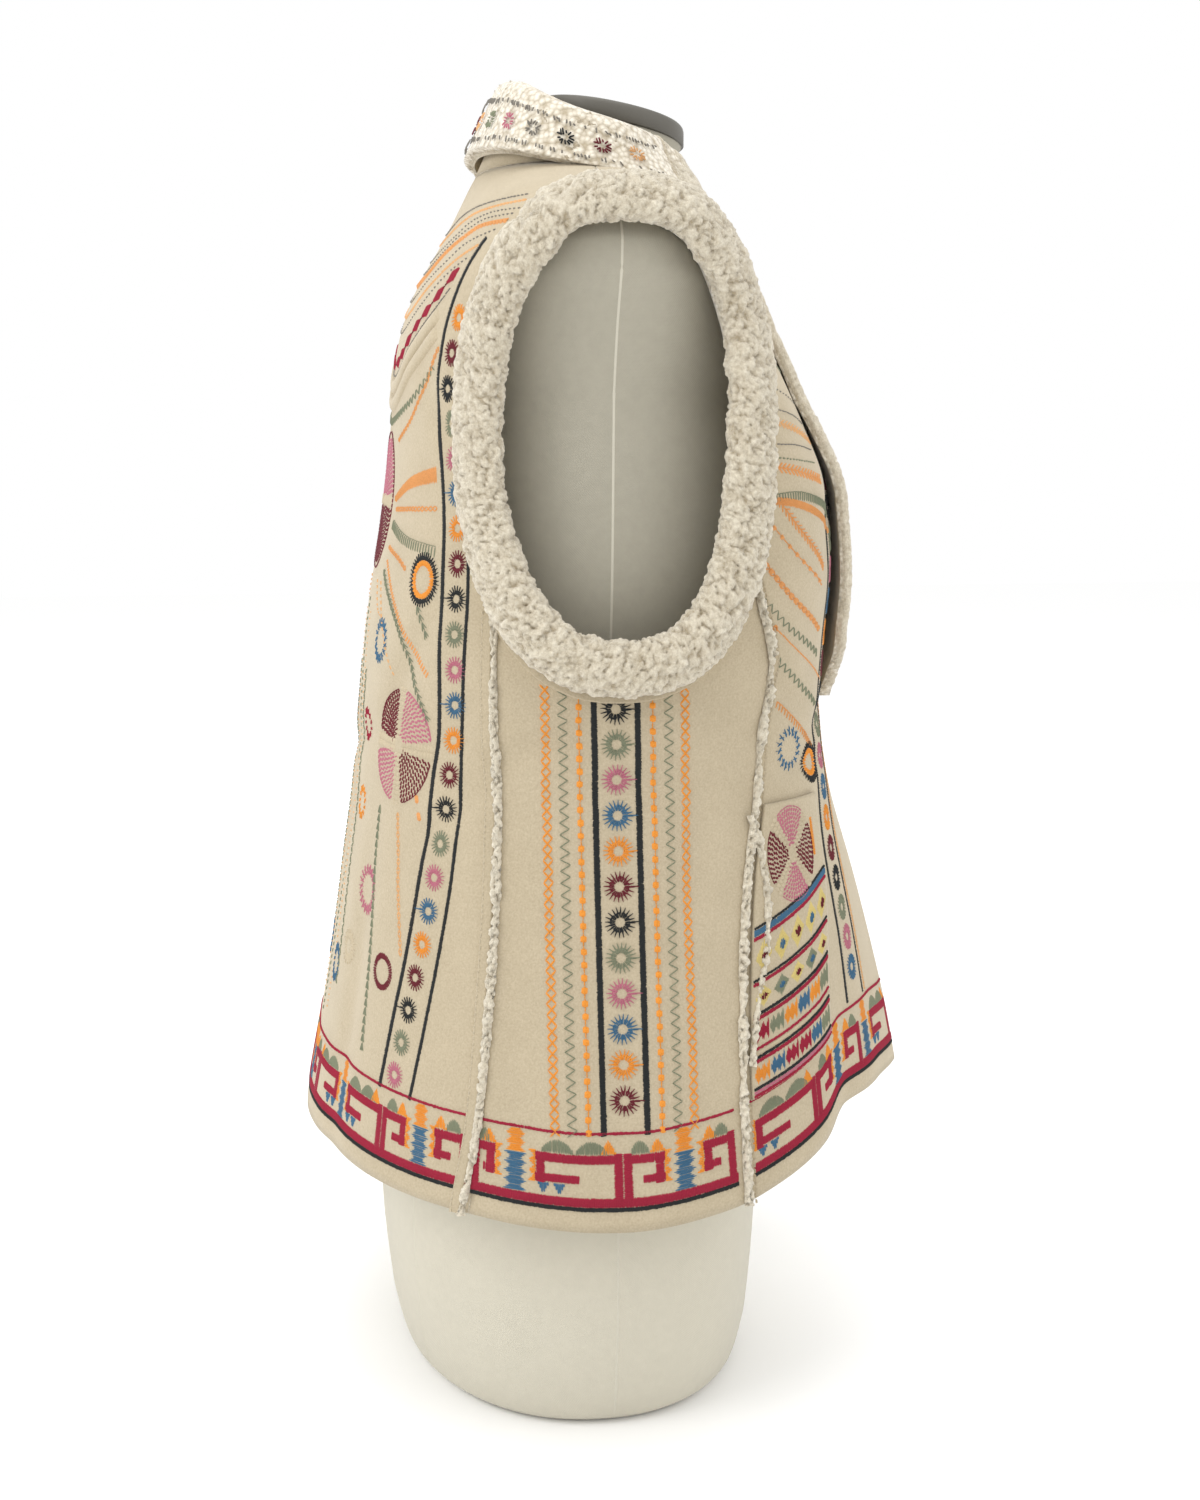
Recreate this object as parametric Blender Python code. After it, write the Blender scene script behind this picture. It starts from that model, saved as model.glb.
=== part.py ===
# Embroidered shearling vest with a fold-over collar, standing on a limbless dress form.
# Metres, +Z up. The wearer faces -Y, and the wearer's right side is at -X.

import math

import bmesh
import bpy
import numpy as np

# The vest is one smooth shell round the form's axis. Each row is a level section of it:
# half the width, the depth behind and before the axis, and how square its corners are.
SHELL_COLUMNS = ("height", "half_width", "back_depth", "front_depth", "back_square", "front_square")
SHELL = np.array([
    (0.120, 0.217, 0.1690, 0.1960, 2.20, 2.20),
    (0.150, 0.212, 0.1650, 0.1910, 2.20, 2.20),
    (0.200, 0.203, 0.1555, 0.1825, 2.25, 2.25),
    (0.250, 0.194, 0.1465, 0.1720, 2.30, 2.30),
    (0.300, 0.185, 0.1390, 0.1610, 2.35, 2.35),
    (0.350, 0.177, 0.1315, 0.1490, 2.40, 2.50),
    (0.400, 0.171, 0.1270, 0.1410, 2.40, 2.65),
    (0.440, 0.168, 0.1230, 0.1420, 2.40, 2.80),
    (0.480, 0.166, 0.1165, 0.1445, 2.35, 2.90),
    (0.520, 0.165, 0.1100, 0.1425, 2.30, 2.90),
    (0.560, 0.166, 0.1055, 0.1285, 2.30, 2.80),
    (0.600, 0.169, 0.1015, 0.1100, 2.35, 2.60),
    (0.630, 0.174, 0.0930, 0.0950, 2.40, 2.40),
    (0.650, 0.176, 0.0830, 0.0820, 2.40, 2.40),
    (0.665, 0.168, 0.0740, 0.0740, 2.35, 2.35),
    (0.678, 0.146, 0.0670, 0.0680, 2.30, 2.30),
    (0.688, 0.117, 0.0620, 0.0630, 2.20, 2.20),
    (0.697, 0.088, 0.0575, 0.0600, 2.10, 2.10),
    (0.704, 0.068, 0.0535, 0.0570, 2.00, 2.00),
])

# Height of the hem round the body. Angles are degrees from the centre front.
HEM_COLUMNS = ("angle", "height")
HEM = np.array([
    (0, 0.175), (20, 0.176), (34, 0.181), (46, 0.180), (56, 0.169), (66, 0.158),
    (76, 0.149), (91, 0.1435), (103, 0.146), (116, 0.150), (140, 0.152), (165, 0.150), (180, 0.146),
])

# Side seams below the armhole, as angles from the centre front.
SEAM_COLUMNS = ("height", "front_seam", "back_seam")
SEAMS = np.array([
    (0.150, 72.8, 115.6),
    (0.200, 72.4, 113.4),
    (0.260, 71.0, 112.4),
    (0.320, 68.3, 111.9),
    (0.360, 65.3, 111.9),
    (0.400, 63.2, 112.9),
    (0.430, 60.6, 113.2),
    (0.465, 63.6, 113.2),
    (0.490, 66.2, 113.5),
    (0.512, 67.5, 114.0),
    (0.540, 68.5, 114.0),
])

# The front edge up to the break point, and the roll line of the lapel above it:
# its distance from the centre, and how far the skirt of the front swings out at the edge.
FRONT_COLUMNS = ("height", "edge_x", "flare")
FRONT = np.array([
    (0.160, 0.064, 0.0120),
    (0.220, 0.061, 0.0105),
    (0.280, 0.057, 0.0075),
    (0.330, 0.053, 0.0040),
    (0.390, 0.047, 0.0000),
    (0.460, 0.043, 0.0000),
    (0.560, 0.045, 0.0000),
    (0.640, 0.052, 0.0000),
    (0.680, 0.055, 0.0000),
    (0.702, 0.055, 0.0000),
])

# Folded edge from the break point up the chest and round the neck to the centre back:
# stand before the fold, radius of the fold, width that falls back, how far it leans out,
# how much the stand points upwards instead of across the chest, and how far it tips in.
FOLD_COLUMNS = ("station", "stand", "radius", "fall", "lean", "upward", "inward")
FOLD = np.array([
    (0.402, 0.002, 0.0020, 0.0040, 0.00, 0.00, 0.60),
    (0.418, 0.003, 0.0026, 0.0240, -0.02, 0.00, 0.60),
    (0.436, 0.003, 0.0028, 0.0450, -0.05, 0.00, 0.60),
    (0.470, 0.003, 0.0026, 0.0530, -0.06, 0.00, 0.60),
    (0.540, 0.003, 0.0018, 0.0550, -0.02, 0.00, 0.60),
    (0.600, 0.005, 0.0015, 0.0530, 0.00, 0.05, 0.60),
    (0.650, 0.006, 0.0015, 0.0460, 0.02, 0.30, 0.60),
    (0.678, 0.008, 0.0015, 0.0370, 0.10, 0.58, 0.55),
    (0.690, 0.010, 0.0015, 0.0290, 0.26, 0.75, 0.45),
    (0.702, 0.014, 0.0015, 0.0230, 0.42, 0.92, 0.26),
    (0.740, 0.028, 0.0015, 0.0250, 0.22, 1.00, 0.20),
    (0.790, 0.043, 0.0013, 0.0350, 0.06, 1.00, 0.38),
    (0.840, 0.049, 0.0012, 0.0390, 0.02, 1.00, 0.46),
])

# Soft troughs that fall to the hem: centre angle (minus is the wearer's right), width, depth
# at the hem and the height where each one has died away.
TROUGH_COLUMNS = ("angle", "width", "depth", "top")
TROUGHS = np.array([
    (-47.0, 7.0, 0.0090, 0.330),
    (43.0, 8.0, 0.0075, 0.310),
    (-151.0, 11.0, 0.0025, 0.360),
    (146.0, 12.0, 0.0030, 0.330),
    (107.0, 7.0, 0.0025, 0.300),
])

# Dress form: level sections with their own centre.
FORM_COLUMNS = ("height", "half_width", "back_depth", "front_depth", "centre_y")
FORM = np.array([
    (0.000, 0.1570, 0.1140, 0.1080, 0.000),
    (0.006, 0.1625, 0.1190, 0.1130, 0.000),
    (0.030, 0.1650, 0.1205, 0.1145, 0.000),
    (0.100, 0.1650, 0.1205, 0.1145, 0.000),
    (0.200, 0.1560, 0.1130, 0.1110, 0.000),
    (0.290, 0.1350, 0.0960, 0.1020, 0.000),
    (0.350, 0.1270, 0.0890, 0.1020, 0.000),
    (0.420, 0.1350, 0.0920, 0.1140, 0.000),
    (0.480, 0.1430, 0.0930, 0.1240, 0.000),
    (0.540, 0.1460, 0.0900, 0.1180, 0.000),
    (0.590, 0.1480, 0.0880, 0.0980, 0.000),
    (0.630, 0.1500, 0.0800, 0.0820, 0.000),
    (0.697, 0.0640, 0.0440, 0.0490, 0.000),
    (0.703, 0.0550, 0.0430, 0.0460, -0.006),
    (0.710, 0.0510, 0.0425, 0.0440, -0.012),
    (0.718, 0.0485, 0.0425, 0.0430, -0.018),
    (0.727, 0.0475, 0.0425, 0.0425, -0.023),
])
FORM_SQUARE = 2.2
# Share of each form section that follows the inside of the vest, which hangs from the shoulders.
FORM_CONTACT_COLUMNS = ("height", "share")
FORM_CONTACT = np.array([(0.575, 0.0), (0.610, 0.55), (0.635, 1.0), (0.690, 1.0), (0.697, 0.0)])
FORM_HEIGHTS = (0.0, 0.006, 0.03, 0.09, 0.15, 0.21, 0.27, 0.32, 0.36, 0.41, 0.46, 0.50, 0.54, 0.575,
                0.605, 0.625, 0.640, 0.652, 0.662, 0.671, 0.679, 0.686, 0.690, 0.697,
                0.703, 0.710, 0.718, 0.727)
FORM_SIDES = 40
NECK_TILT = 0.18
# Turned profile of the cap: how much wider than the neck each step is, and its rise.
CAP_COLUMNS = ("wider", "rise")
CAP = np.array([(0.0015, 0.0), (0.0015, 0.0085), (0.0, 0.0105), (-0.0180, 0.0145)])

AXIS_Y = 0.0133
HALF = np.pi / 2

SEAM_GAP = 0.0003
BODY_WALL = 0.0050
FOLD_WALL = 0.0068
FORM_GAP = 0.0010
NECK_HEIGHT = 0.702
GORGE_GAP = 0.0006
BREAK_HEIGHT = 0.402
FLARE_REACH = 0.075

# Armhole: centre line of the fleece roll, seen from the side.
ARM_CENTRE_Y = -0.0005
ARM_CENTRE_Z = 0.5490
ARM_HALF_DEPTH = 0.0645
ARM_HALF_HEIGHT = 0.1145
ARM_SQUARE = 2.45
ROLL_HALF_WIDTH = 0.0145
ROLL_HALF_HEIGHT = 0.0095
ROLL_GAP = 0.0009
ROLL_SEGMENTS = 40
ROLL_SIDES = 10

TRIM_HALF_WIDTH = 0.0030
TRIM_HEIGHT = 0.0040
TRIM_DROP = 0.0015
TRIM_GAP = 0.0005
TRIM_ROLL_CLEARANCE = 0.0165
TRIM_TOP = 0.500
TRIM_SEARCH_ROWS = 60
TRIM_ROWS = 18
TRIM_PROFILE = np.radians([0, 40, 90, 140, 180])

POCKET_TOP = 0.358
POCKET_BOTTOM = 0.2085
POCKET_WALL = 0.0018
POCKET_GAP = 0.0008
POCKET_SEAM_INSET = 0.0045
POCKET_COLUMNS = ("height", "inner_angle")
POCKET_EDGE = np.array([(0.200, 52.5), (0.240, 51.5), (0.314, 47.5), (0.358, 48.5)])
POCKET_ROWS = 9
POCKET_CUTS = 6

SKIRT_HEIGHTS = (0.175, 0.200, 0.225, 0.250, 0.275, 0.300, 0.325, 0.350, 0.375)
CHEST_HEIGHTS = (0.402, 0.418, 0.436, 0.462, 0.488, 0.512, 0.546, 0.580, 0.605, 0.625, 0.640,
                 0.652, 0.662, 0.671, 0.679, 0.686, 0.6915, 0.697, 0.702)
GATHER = 0.55
FRONT_CUTS = 11
BACK_CUTS = 24
SIDE_CUTS = 7
SIDE_TOP = 0.512
COLLAR_CUTS = 22
STAND_CUTS = 2
TURN_CUTS = 5
FALL_CUTS = 4

SUEDE = (0.62, 0.55, 0.45, 1)
FLEECE = (0.80, 0.73, 0.61, 1)
LINEN = (0.56, 0.54, 0.48, 1)
GREY_CAP = (0.20, 0.19, 0.16, 1)


def column(table, columns, name):
    return table[:, columns.index(name)]


def smooth_read(table, columns, name, x):
    """Reads one column of a table at x, with rounded slopes between its rows."""
    keys = table[:, 0]
    values = column(table, columns, name)
    x = np.clip(np.asarray(x, float), keys[0], keys[-1])
    step = np.diff(keys)
    rise = np.diff(values) / step
    slope = np.empty(len(keys))
    slope[0], slope[-1] = rise[0], rise[-1]
    product = rise[:-1] * rise[1:]
    total = np.where(product > 0, rise[:-1] + rise[1:], 1.0)
    slope[1:-1] = np.where(product > 0, 2 * product / total, 0.0)
    i = np.clip(np.searchsorted(keys, x) - 1, 0, len(keys) - 2)
    t = (x - keys[i]) / step[i]
    return ((2 * t**3 - 3 * t**2 + 1) * values[i] + (t**3 - 2 * t**2 + t) * step[i] * slope[i]
            + (3 * t**2 - 2 * t**3) * values[i + 1] + (t**3 - t**2) * step[i] * slope[i + 1])


def shell_value(name, height):
    return smooth_read(SHELL, SHELL_COLUMNS, name, height)


def unit(vectors):
    return vectors / np.linalg.norm(vectors, axis=-1, keepdims=True)


def section(angle, half_width, back_depth, front_depth, back_square, front_square):
    """Point of a squared oval in the direction of the angle, from the centre front."""
    sine, cosine = np.sin(angle), np.cos(angle)
    depth = np.where(cosine > 0, front_depth, back_depth)
    square = np.where(cosine > 0, front_square, back_square)
    reach = (np.abs(sine) / half_width) ** square + (np.abs(cosine) / depth) ** square
    reach = reach ** (-1 / square)
    return reach * sine, -reach * cosine


def drape(angle, height):
    """Point of the vest's outer face, with the swing of the front edges and the soft troughs."""
    angle, height = np.broadcast_arrays(np.asarray(angle, float), np.asarray(height, float))
    x, y = section(angle, *(shell_value(name, height) for name in SHELL_COLUMNS[1:]))
    from_edge = np.abs(x) - smooth_read(FRONT, FRONT_COLUMNS, "edge_x", height)
    near_edge = np.clip(1 - from_edge / FLARE_REACH, 0, 1) * (np.cos(angle) > 0)
    y = y - smooth_read(FRONT, FRONT_COLUMNS, "flare", height) * near_edge**2
    scale = 1.0
    radius = np.hypot(x, y)
    for centre, width, depth, top in TROUGHS:
        across = np.exp(-((np.degrees(angle) - centre) / width) ** 2)
        down = np.clip((top - height) / (top - column(HEM, HEM_COLUMNS, "height").min()), 0, 1)
        scale = scale - depth * across * down**1.5 / radius
    return np.stack([x * scale, y * scale, height], -1)


def outward(angle, height):
    """Direction straight out of the vest's face."""
    small = 1e-4
    along = drape(angle + small, height) - drape(angle - small, height)
    up = drape(angle, height + small) - drape(angle, height - small)
    return unit(np.cross(along, up))


def lifted(angle, height, lift):
    return drape(angle, height) + outward(angle, height) * np.asarray(lift)[..., None]


def angle_at_x(x, height):
    """Angle of the front point that lies a given distance from the centre."""
    square = shell_value("front_square", height)
    inner = 1 - (x / shell_value("half_width", height)) ** square
    y = shell_value("front_depth", height) * inner ** (1 / square)
    return np.arctan2(x, y)


def angle_at_y(y, height):
    """Angle of the side point that lies a given depth from the axis."""
    depth = np.where(y < 0, shell_value("front_depth", height), shell_value("back_depth", height))
    square = np.where(y < 0, shell_value("front_square", height), shell_value("back_square", height))
    inner = 1 - np.minimum(np.abs(y) / depth, 1) ** square
    x = shell_value("half_width", height) * inner ** (1 / square)
    return np.arctan2(x, -y)


def hem_height(angle):
    return smooth_read(HEM, HEM_COLUMNS, "height", np.degrees(np.abs(angle)))


def arm_depth(height):
    """Half the depth of the armhole at a height, 0 outside it."""
    rise = np.minimum(np.abs(height - ARM_CENTRE_Z) / ARM_HALF_HEIGHT, 1)
    return ARM_HALF_DEPTH * (1 - rise**ARM_SQUARE) ** (1 / ARM_SQUARE)


def arm_bottom(y):
    side = np.minimum(np.abs(y - ARM_CENTRE_Y) / ARM_HALF_DEPTH, 1)
    return ARM_CENTRE_Z - ARM_HALF_HEIGHT * (1 - side**ARM_SQUARE) ** (1 / ARM_SQUARE)


def half_gap(height):
    """Half a seam gap as an angle."""
    return SEAM_GAP / 2 / shell_value("half_width", height)


def front_side_edge(height):
    """Side edge of a front panel: seam, then armhole, then shoulder seam."""
    seam = np.radians(smooth_read(SEAMS, SEAM_COLUMNS, "front_seam", height))
    arm = angle_at_y(ARM_CENTRE_Y - arm_depth(height), height)
    below = np.where(height < ARM_CENTRE_Z, np.minimum(seam, arm), np.minimum(arm, HALF))
    return below - half_gap(height)


def back_side_edge(height):
    seam = np.radians(smooth_read(SEAMS, SEAM_COLUMNS, "back_seam", height))
    arm = angle_at_y(ARM_CENTRE_Y + arm_depth(height), height)
    below = np.where(height < ARM_CENTRE_Z, np.maximum(seam, arm), np.maximum(arm, HALF))
    return below + half_gap(height)


def gathered(share):
    """Shares of a width, set closer together towards both sides, where the shell turns fastest."""
    return share - GATHER * np.sin(2 * np.pi * share) / (2 * np.pi)


def level_heights(angle, heights):
    """Row heights of a panel whose lowest row is its hem: each row settles above the hem."""
    hem = hem_height(angle)
    first = heights[0]
    top = SKIRT_HEIGHTS[-1]
    rise = np.clip((heights - first) / (top - first), 0, 1)
    return np.where(heights < top, hem + (top - hem) * rise, heights)


def hairpin(station):
    """Folded edge in its own plane: places along the stand and away from it, and the way
    the suede faces. The suede is inside the fold and the fleece outside."""
    values = {name: smooth_read(FOLD, FOLD_COLUMNS, name, station)[:, None] for name in FOLD_COLUMNS[1:]}
    stand, radius, fall, lean = (values[name] for name in ("stand", "radius", "fall", "lean"))
    rise = np.linspace(0, 1, STAND_CUTS + 1)[None, 1:]
    turn = np.linspace(-HALF, HALF, TURN_CUTS + 1)[None, 1:]
    back = np.linspace(0, 1, FALL_CUTS + 1)[None, 1:]
    zero = np.zeros_like(stand)
    along = np.hstack([stand * rise, stand + radius * np.cos(turn), stand - fall * back])
    away = np.hstack([zero * rise, radius + radius * np.sin(turn),
                      2 * radius + lean * fall * back**1.4])
    face_along = np.hstack([zero * rise, -np.cos(turn) + zero, lean * back + zero])
    face_away = np.hstack([zero * rise + 1, -np.sin(turn) + zero, -1 + zero * back])
    share = np.clip(np.arange(along.shape[1])[None, :] / (STAND_CUTS + TURN_CUTS - 1), 0, 1) + zero
    return along, away, face_along, face_away, share


def folded_edge(angle, height, station, sides):
    """Suede and fleece points of the fold that grows out of the vest's edge at each angle."""
    start = drape(angle, height)
    across = unit(drape(angle - sides * 1e-3, height) - start)
    out = outward(angle, height)
    upward = smooth_read(FOLD, FOLD_COLUMNS, "upward", station)[:, None]
    inward = smooth_read(FOLD, FOLD_COLUMNS, "inward", station)[:, None]
    level_out = unit(out * (1, 1, 0))
    stand_up = unit(np.array([0.0, 0.0, 1.0]) - level_out * inward)
    direction = unit(across * (1 - upward) + stand_up * upward)
    out = unit(out * (1 - upward) + level_out * upward)
    facing = unit(out - direction * (out * direction).sum(-1, keepdims=True))
    along, away, face_along, face_away, share = hairpin(station)
    suede = start[:, None] + along[..., None] * direction[:, None] + away[..., None] * facing[:, None]
    face = unit(face_along[..., None] * direction[:, None] + face_away[..., None] * facing[:, None])
    wall = BODY_WALL + (FOLD_WALL - BODY_WALL) * share
    return suede, suede - face * wall[..., None]


def add_object(name, vertices, faces, material, parts):
    mesh = bpy.data.meshes.new(name)
    mesh.from_pydata((np.asarray(vertices) + (0, AXIS_Y, 0)).tolist(), [], faces)
    shape = bmesh.new()
    shape.from_mesh(mesh)
    bmesh.ops.triangulate(shape, faces=shape.faces[:], quad_method="SHORT_EDGE")
    bmesh.ops.recalc_face_normals(shape, faces=shape.faces[:])
    shape.to_mesh(mesh)
    shape.free()
    mesh.shade_smooth()
    mesh.set_sharp_from_angle(angle=math.radians(40))
    mesh.materials.append(material)
    obj = bpy.data.objects.new(name, mesh)
    parts.objects.link(obj)
    return obj


def add_wall(name, outer, inner, material, parts, cells=None):
    """Closed wall between two matching grids. cells says which of the grid's cells are cloth."""
    rows, columns = outer.shape[:2]
    cells = np.ones((rows - 1, columns - 1), bool) if cells is None else cells
    number = np.arange(rows * columns).reshape(rows, columns)
    back = rows * columns
    faces = []
    edges = {}
    for row, place in zip(*np.nonzero(cells)):
        corners = number[[row, row, row + 1, row + 1], [place, place + 1, place + 1, place]]
        quad = [int(corner) for corner in corners]
        faces.append(quad)
        faces.append([corner + back for corner in reversed(quad)])
        for start, end in zip(quad, quad[1:] + quad[:1]):
            edges[(start, end)] = True
    for start, end in edges:
        if (end, start) not in edges:
            faces.append([end, start, start + back, end + back])
    vertices = np.concatenate([outer.reshape(-1, 3), inner.reshape(-1, 3)])
    used = sorted({n for face in faces for n in face})
    renumber = {n: i for i, n in enumerate(used)}
    faces = [[renumber[n] for n in face] for face in faces]
    return add_object(name, vertices[used], faces, material, parts)


def add_tube(name, rings, material, parts, closed=False):
    """Skin over rings of points. Its ends are closed flat unless it runs in a circle."""
    rows, sides = rings.shape[:2]
    faces = []
    for row in range(rows if closed else rows - 1):
        following = (row + 1) % rows
        for side in range(sides):
            beside = (side + 1) % sides
            faces.append([row * sides + side, row * sides + beside,
                          following * sides + beside, following * sides + side])
    if not closed:
        faces.append(list(range(sides))[::-1])
        faces.append([(rows - 1) * sides + side for side in range(sides)])
    return add_object(name, rings.reshape(-1, 3), faces, material, parts)


def front_panel_points(sign):
    """Both faces of a front with its lapel. The sign is +1 on the wearer's left, -1 on the right."""
    heights = np.array(SKIRT_HEIGHTS + CHEST_HEIGHTS)
    edge = angle_at_x(smooth_read(FRONT, FRONT_COLUMNS, "edge_x", heights), heights)
    side = front_side_edge(heights)
    share = gathered(np.linspace(0, 1, 2 * FRONT_CUTS + 1))[None, :FRONT_CUTS + 1]
    share = share / share[0, -1]
    angle = side[:, None] + (edge - side)[:, None] * share
    level = level_heights(angle, heights[:, None] + 0 * angle)
    suede = drape(sign * angle, level)
    fleece = lifted(sign * angle, level, -BODY_WALL + 0 * angle)
    fold = folded_edge(sign * angle[:, -1], level[:, -1], heights, sign)
    cells = np.ones((len(heights) - 1, FRONT_CUTS + STAND_CUTS + TURN_CUTS + FALL_CUTS), bool)
    cells[heights[:-1] < BREAK_HEIGHT, FRONT_CUTS:] = False
    return np.hstack([suede, fold[0]]), np.hstack([fleece, fold[1]]), cells


def add_front_panels(material, parts):
    for name, sign in (("front_panel_left", 1), ("front_panel_right", -1)):
        suede, fleece, cells = front_panel_points(sign)
        add_wall(name, suede, fleece, material, parts, cells)


def add_back_panel(material, parts):
    heights = np.array(SKIRT_HEIGHTS + CHEST_HEIGHTS)
    side = back_side_edge(heights)[:, None]
    angle = side + (2 * np.pi - 2 * side) * gathered(np.linspace(0, 1, BACK_CUTS + 1))[None, :]
    turned = np.where(angle > np.pi, angle - 2 * np.pi, angle)
    level = level_heights(turned, heights[:, None] + 0 * turned)
    inside = lifted(turned, level, -BODY_WALL + 0 * turned)
    add_wall("back_panel", drape(turned, level), inside, material, parts)


def side_panel_grid():
    """Angles and heights of a side panel, from its front seam to its back seam. Its rows meet
    those of the panels beside it at the seams, and close up under the armhole between them."""
    heights = np.array(SKIRT_HEIGHTS + CHEST_HEIGHTS)
    heights = heights[heights <= SIDE_TOP][:, None]
    share = np.linspace(0, 1, SIDE_CUTS + 1)[None, :]
    front = np.radians(smooth_read(SEAMS, SEAM_COLUMNS, "front_seam", heights)) + half_gap(heights)
    back = np.radians(smooth_read(SEAMS, SEAM_COLUMNS, "back_seam", heights)) - half_gap(heights)
    angle = front + (back - front) * share
    waist = CHEST_HEIGHTS[0]
    top = np.minimum(arm_bottom(drape(angle[-1:], SIDE_TOP + 0 * angle[-1:])[..., 1]), SIDE_TOP)
    top[0, [0, -1]] = SIDE_TOP
    upper = waist + (heights - waist) * (top - waist) / (SIDE_TOP - waist)
    level = np.where(heights > waist, upper, level_heights(angle, heights + 0 * angle))
    return angle, level


def add_side_panels(material, parts):
    angle, level = side_panel_grid()
    for name, sign in (("side_panel_left", 1), ("side_panel_right", -1)):
        add_wall(name, drape(sign * angle, level), lifted(sign * angle, level, -BODY_WALL + 0 * angle),
                 material, parts)


def add_collar(material, parts):
    """Stand and fall round the neck seam, from the right gorge over the back to the left gorge."""
    gorge = float(angle_at_x(smooth_read(FRONT, FRONT_COLUMNS, "edge_x", NECK_HEIGHT), NECK_HEIGHT))
    gorge = gorge + GORGE_GAP / np.hypot(*drape(gorge, NECK_HEIGHT)[:2])
    share = np.linspace(-1, 1, COLLAR_CUTS + 1)
    angle = np.pi + share * (np.pi - gorge)
    angle = np.where(angle > np.pi, angle - 2 * np.pi, angle)
    station = FOLD[-1, 0] - (FOLD[-1, 0] - NECK_HEIGHT) * np.abs(share)
    height = np.full_like(angle, NECK_HEIGHT)
    suede, fleece = folded_edge(angle, height, station, np.sign(angle))
    foot = drape(angle, height)
    foot_in = foot - unit(outward(angle, height) * (1, 1, 0)) * BODY_WALL
    suede = np.concatenate([foot[:, None], suede], 1) + (0, 0, SEAM_GAP)
    fleece = np.concatenate([foot_in[:, None], fleece], 1) + (0, 0, SEAM_GAP)
    add_wall("collar", suede, fleece, material, parts)


def armhole_line(segments):
    """Centre line of the armhole roll, as angle and height."""
    turn = np.linspace(0, 2 * np.pi, segments, endpoint=False)
    power = 2 / ARM_SQUARE
    y = ARM_CENTRE_Y + ARM_HALF_DEPTH * np.sign(np.cos(turn)) * np.abs(np.cos(turn)) ** power
    height = ARM_CENTRE_Z + ARM_HALF_HEIGHT * np.sign(np.sin(turn)) * np.abs(np.sin(turn)) ** power
    return angle_at_y(y, height), height


def add_armhole_rolls(material, parts):
    angle, height = armhole_line(ROLL_SEGMENTS)
    for name, sign in (("armhole_roll_left", 1), ("armhole_roll_right", -1)):
        out = outward(sign * angle, height)
        centre = lifted(sign * angle, height, ROLL_HALF_HEIGHT + ROLL_GAP + 0 * angle)
        ahead = unit(np.roll(centre, -1, 0) - np.roll(centre, 1, 0))
        aside = unit(np.cross(ahead, out))
        out = unit(np.cross(aside, ahead))
        turn = np.linspace(0, 2 * np.pi, ROLL_SIDES, endpoint=False)
        rings = (centre[:, None] + aside[:, None] * (ROLL_HALF_WIDTH * np.cos(turn))[None, :, None]
                 + out[:, None] * (ROLL_HALF_HEIGHT * np.sin(turn))[None, :, None])
        add_tube(name, rings, material, parts, closed=True)


def trim_heights(seam):
    """Rows of a seam trim, from just below the hem to just below the armhole roll."""
    low = float(hem_height(np.radians(column(SEAMS, SEAM_COLUMNS, seam)[0]))) - TRIM_DROP
    heights = np.linspace(low, TRIM_TOP, TRIM_SEARCH_ROWS)
    angle = np.radians(smooth_read(SEAMS, SEAM_COLUMNS, seam, heights))
    roll_angle, roll_height = armhole_line(ROLL_SEGMENTS * 4)
    roll = drape(roll_angle, roll_height)
    reach = np.linalg.norm(drape(angle, heights)[:, None] - roll[None], axis=-1).min(1)
    top = heights[np.argmax(reach < TRIM_ROLL_CLEARANCE)]
    return np.linspace(low, top, TRIM_ROWS)


def add_seam_trims(material, parts):
    for seam, label in (("front_seam", "front"), ("back_seam", "back")):
        heights = trim_heights(seam)
        angle = np.radians(smooth_read(SEAMS, SEAM_COLUMNS, seam, heights))
        for side, sign in (("left", 1), ("right", -1)):
            out = outward(sign * angle, heights)
            foot = lifted(sign * angle, heights, TRIM_GAP + 0 * angle)
            ahead = unit(np.gradient(foot, axis=0))
            aside = unit(np.cross(ahead, out))
            across = TRIM_HALF_WIDTH * np.cos(TRIM_PROFILE)
            above = TRIM_HEIGHT * np.sin(TRIM_PROFILE)
            rings = (foot[:, None] + aside[:, None] * across[None, :, None]
                     + out[:, None] * above[None, :, None])
            add_tube("seam_trim_" + label + "_" + side, rings, material, parts)


def add_pockets(material, parts):
    heights = np.linspace(POCKET_BOTTOM, POCKET_TOP, POCKET_ROWS)[:, None]
    share = np.linspace(0, 1, POCKET_CUTS + 1)[None, :]
    inset = POCKET_SEAM_INSET / shell_value("half_width", heights)
    outer_side = np.radians(smooth_read(SEAMS, SEAM_COLUMNS, "front_seam", heights)) - inset
    inner_side = np.radians(smooth_read(POCKET_EDGE, POCKET_COLUMNS, "inner_angle", heights))
    angle = outer_side + (inner_side - outer_side) * share
    level = heights + 0 * angle
    for name, sign in (("pocket_left", 1), ("pocket_right", -1)):
        add_wall(name, lifted(sign * angle, level, POCKET_GAP + POCKET_WALL + 0 * angle),
                 lifted(sign * angle, level, POCKET_GAP + 0 * angle), material, parts)


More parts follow.
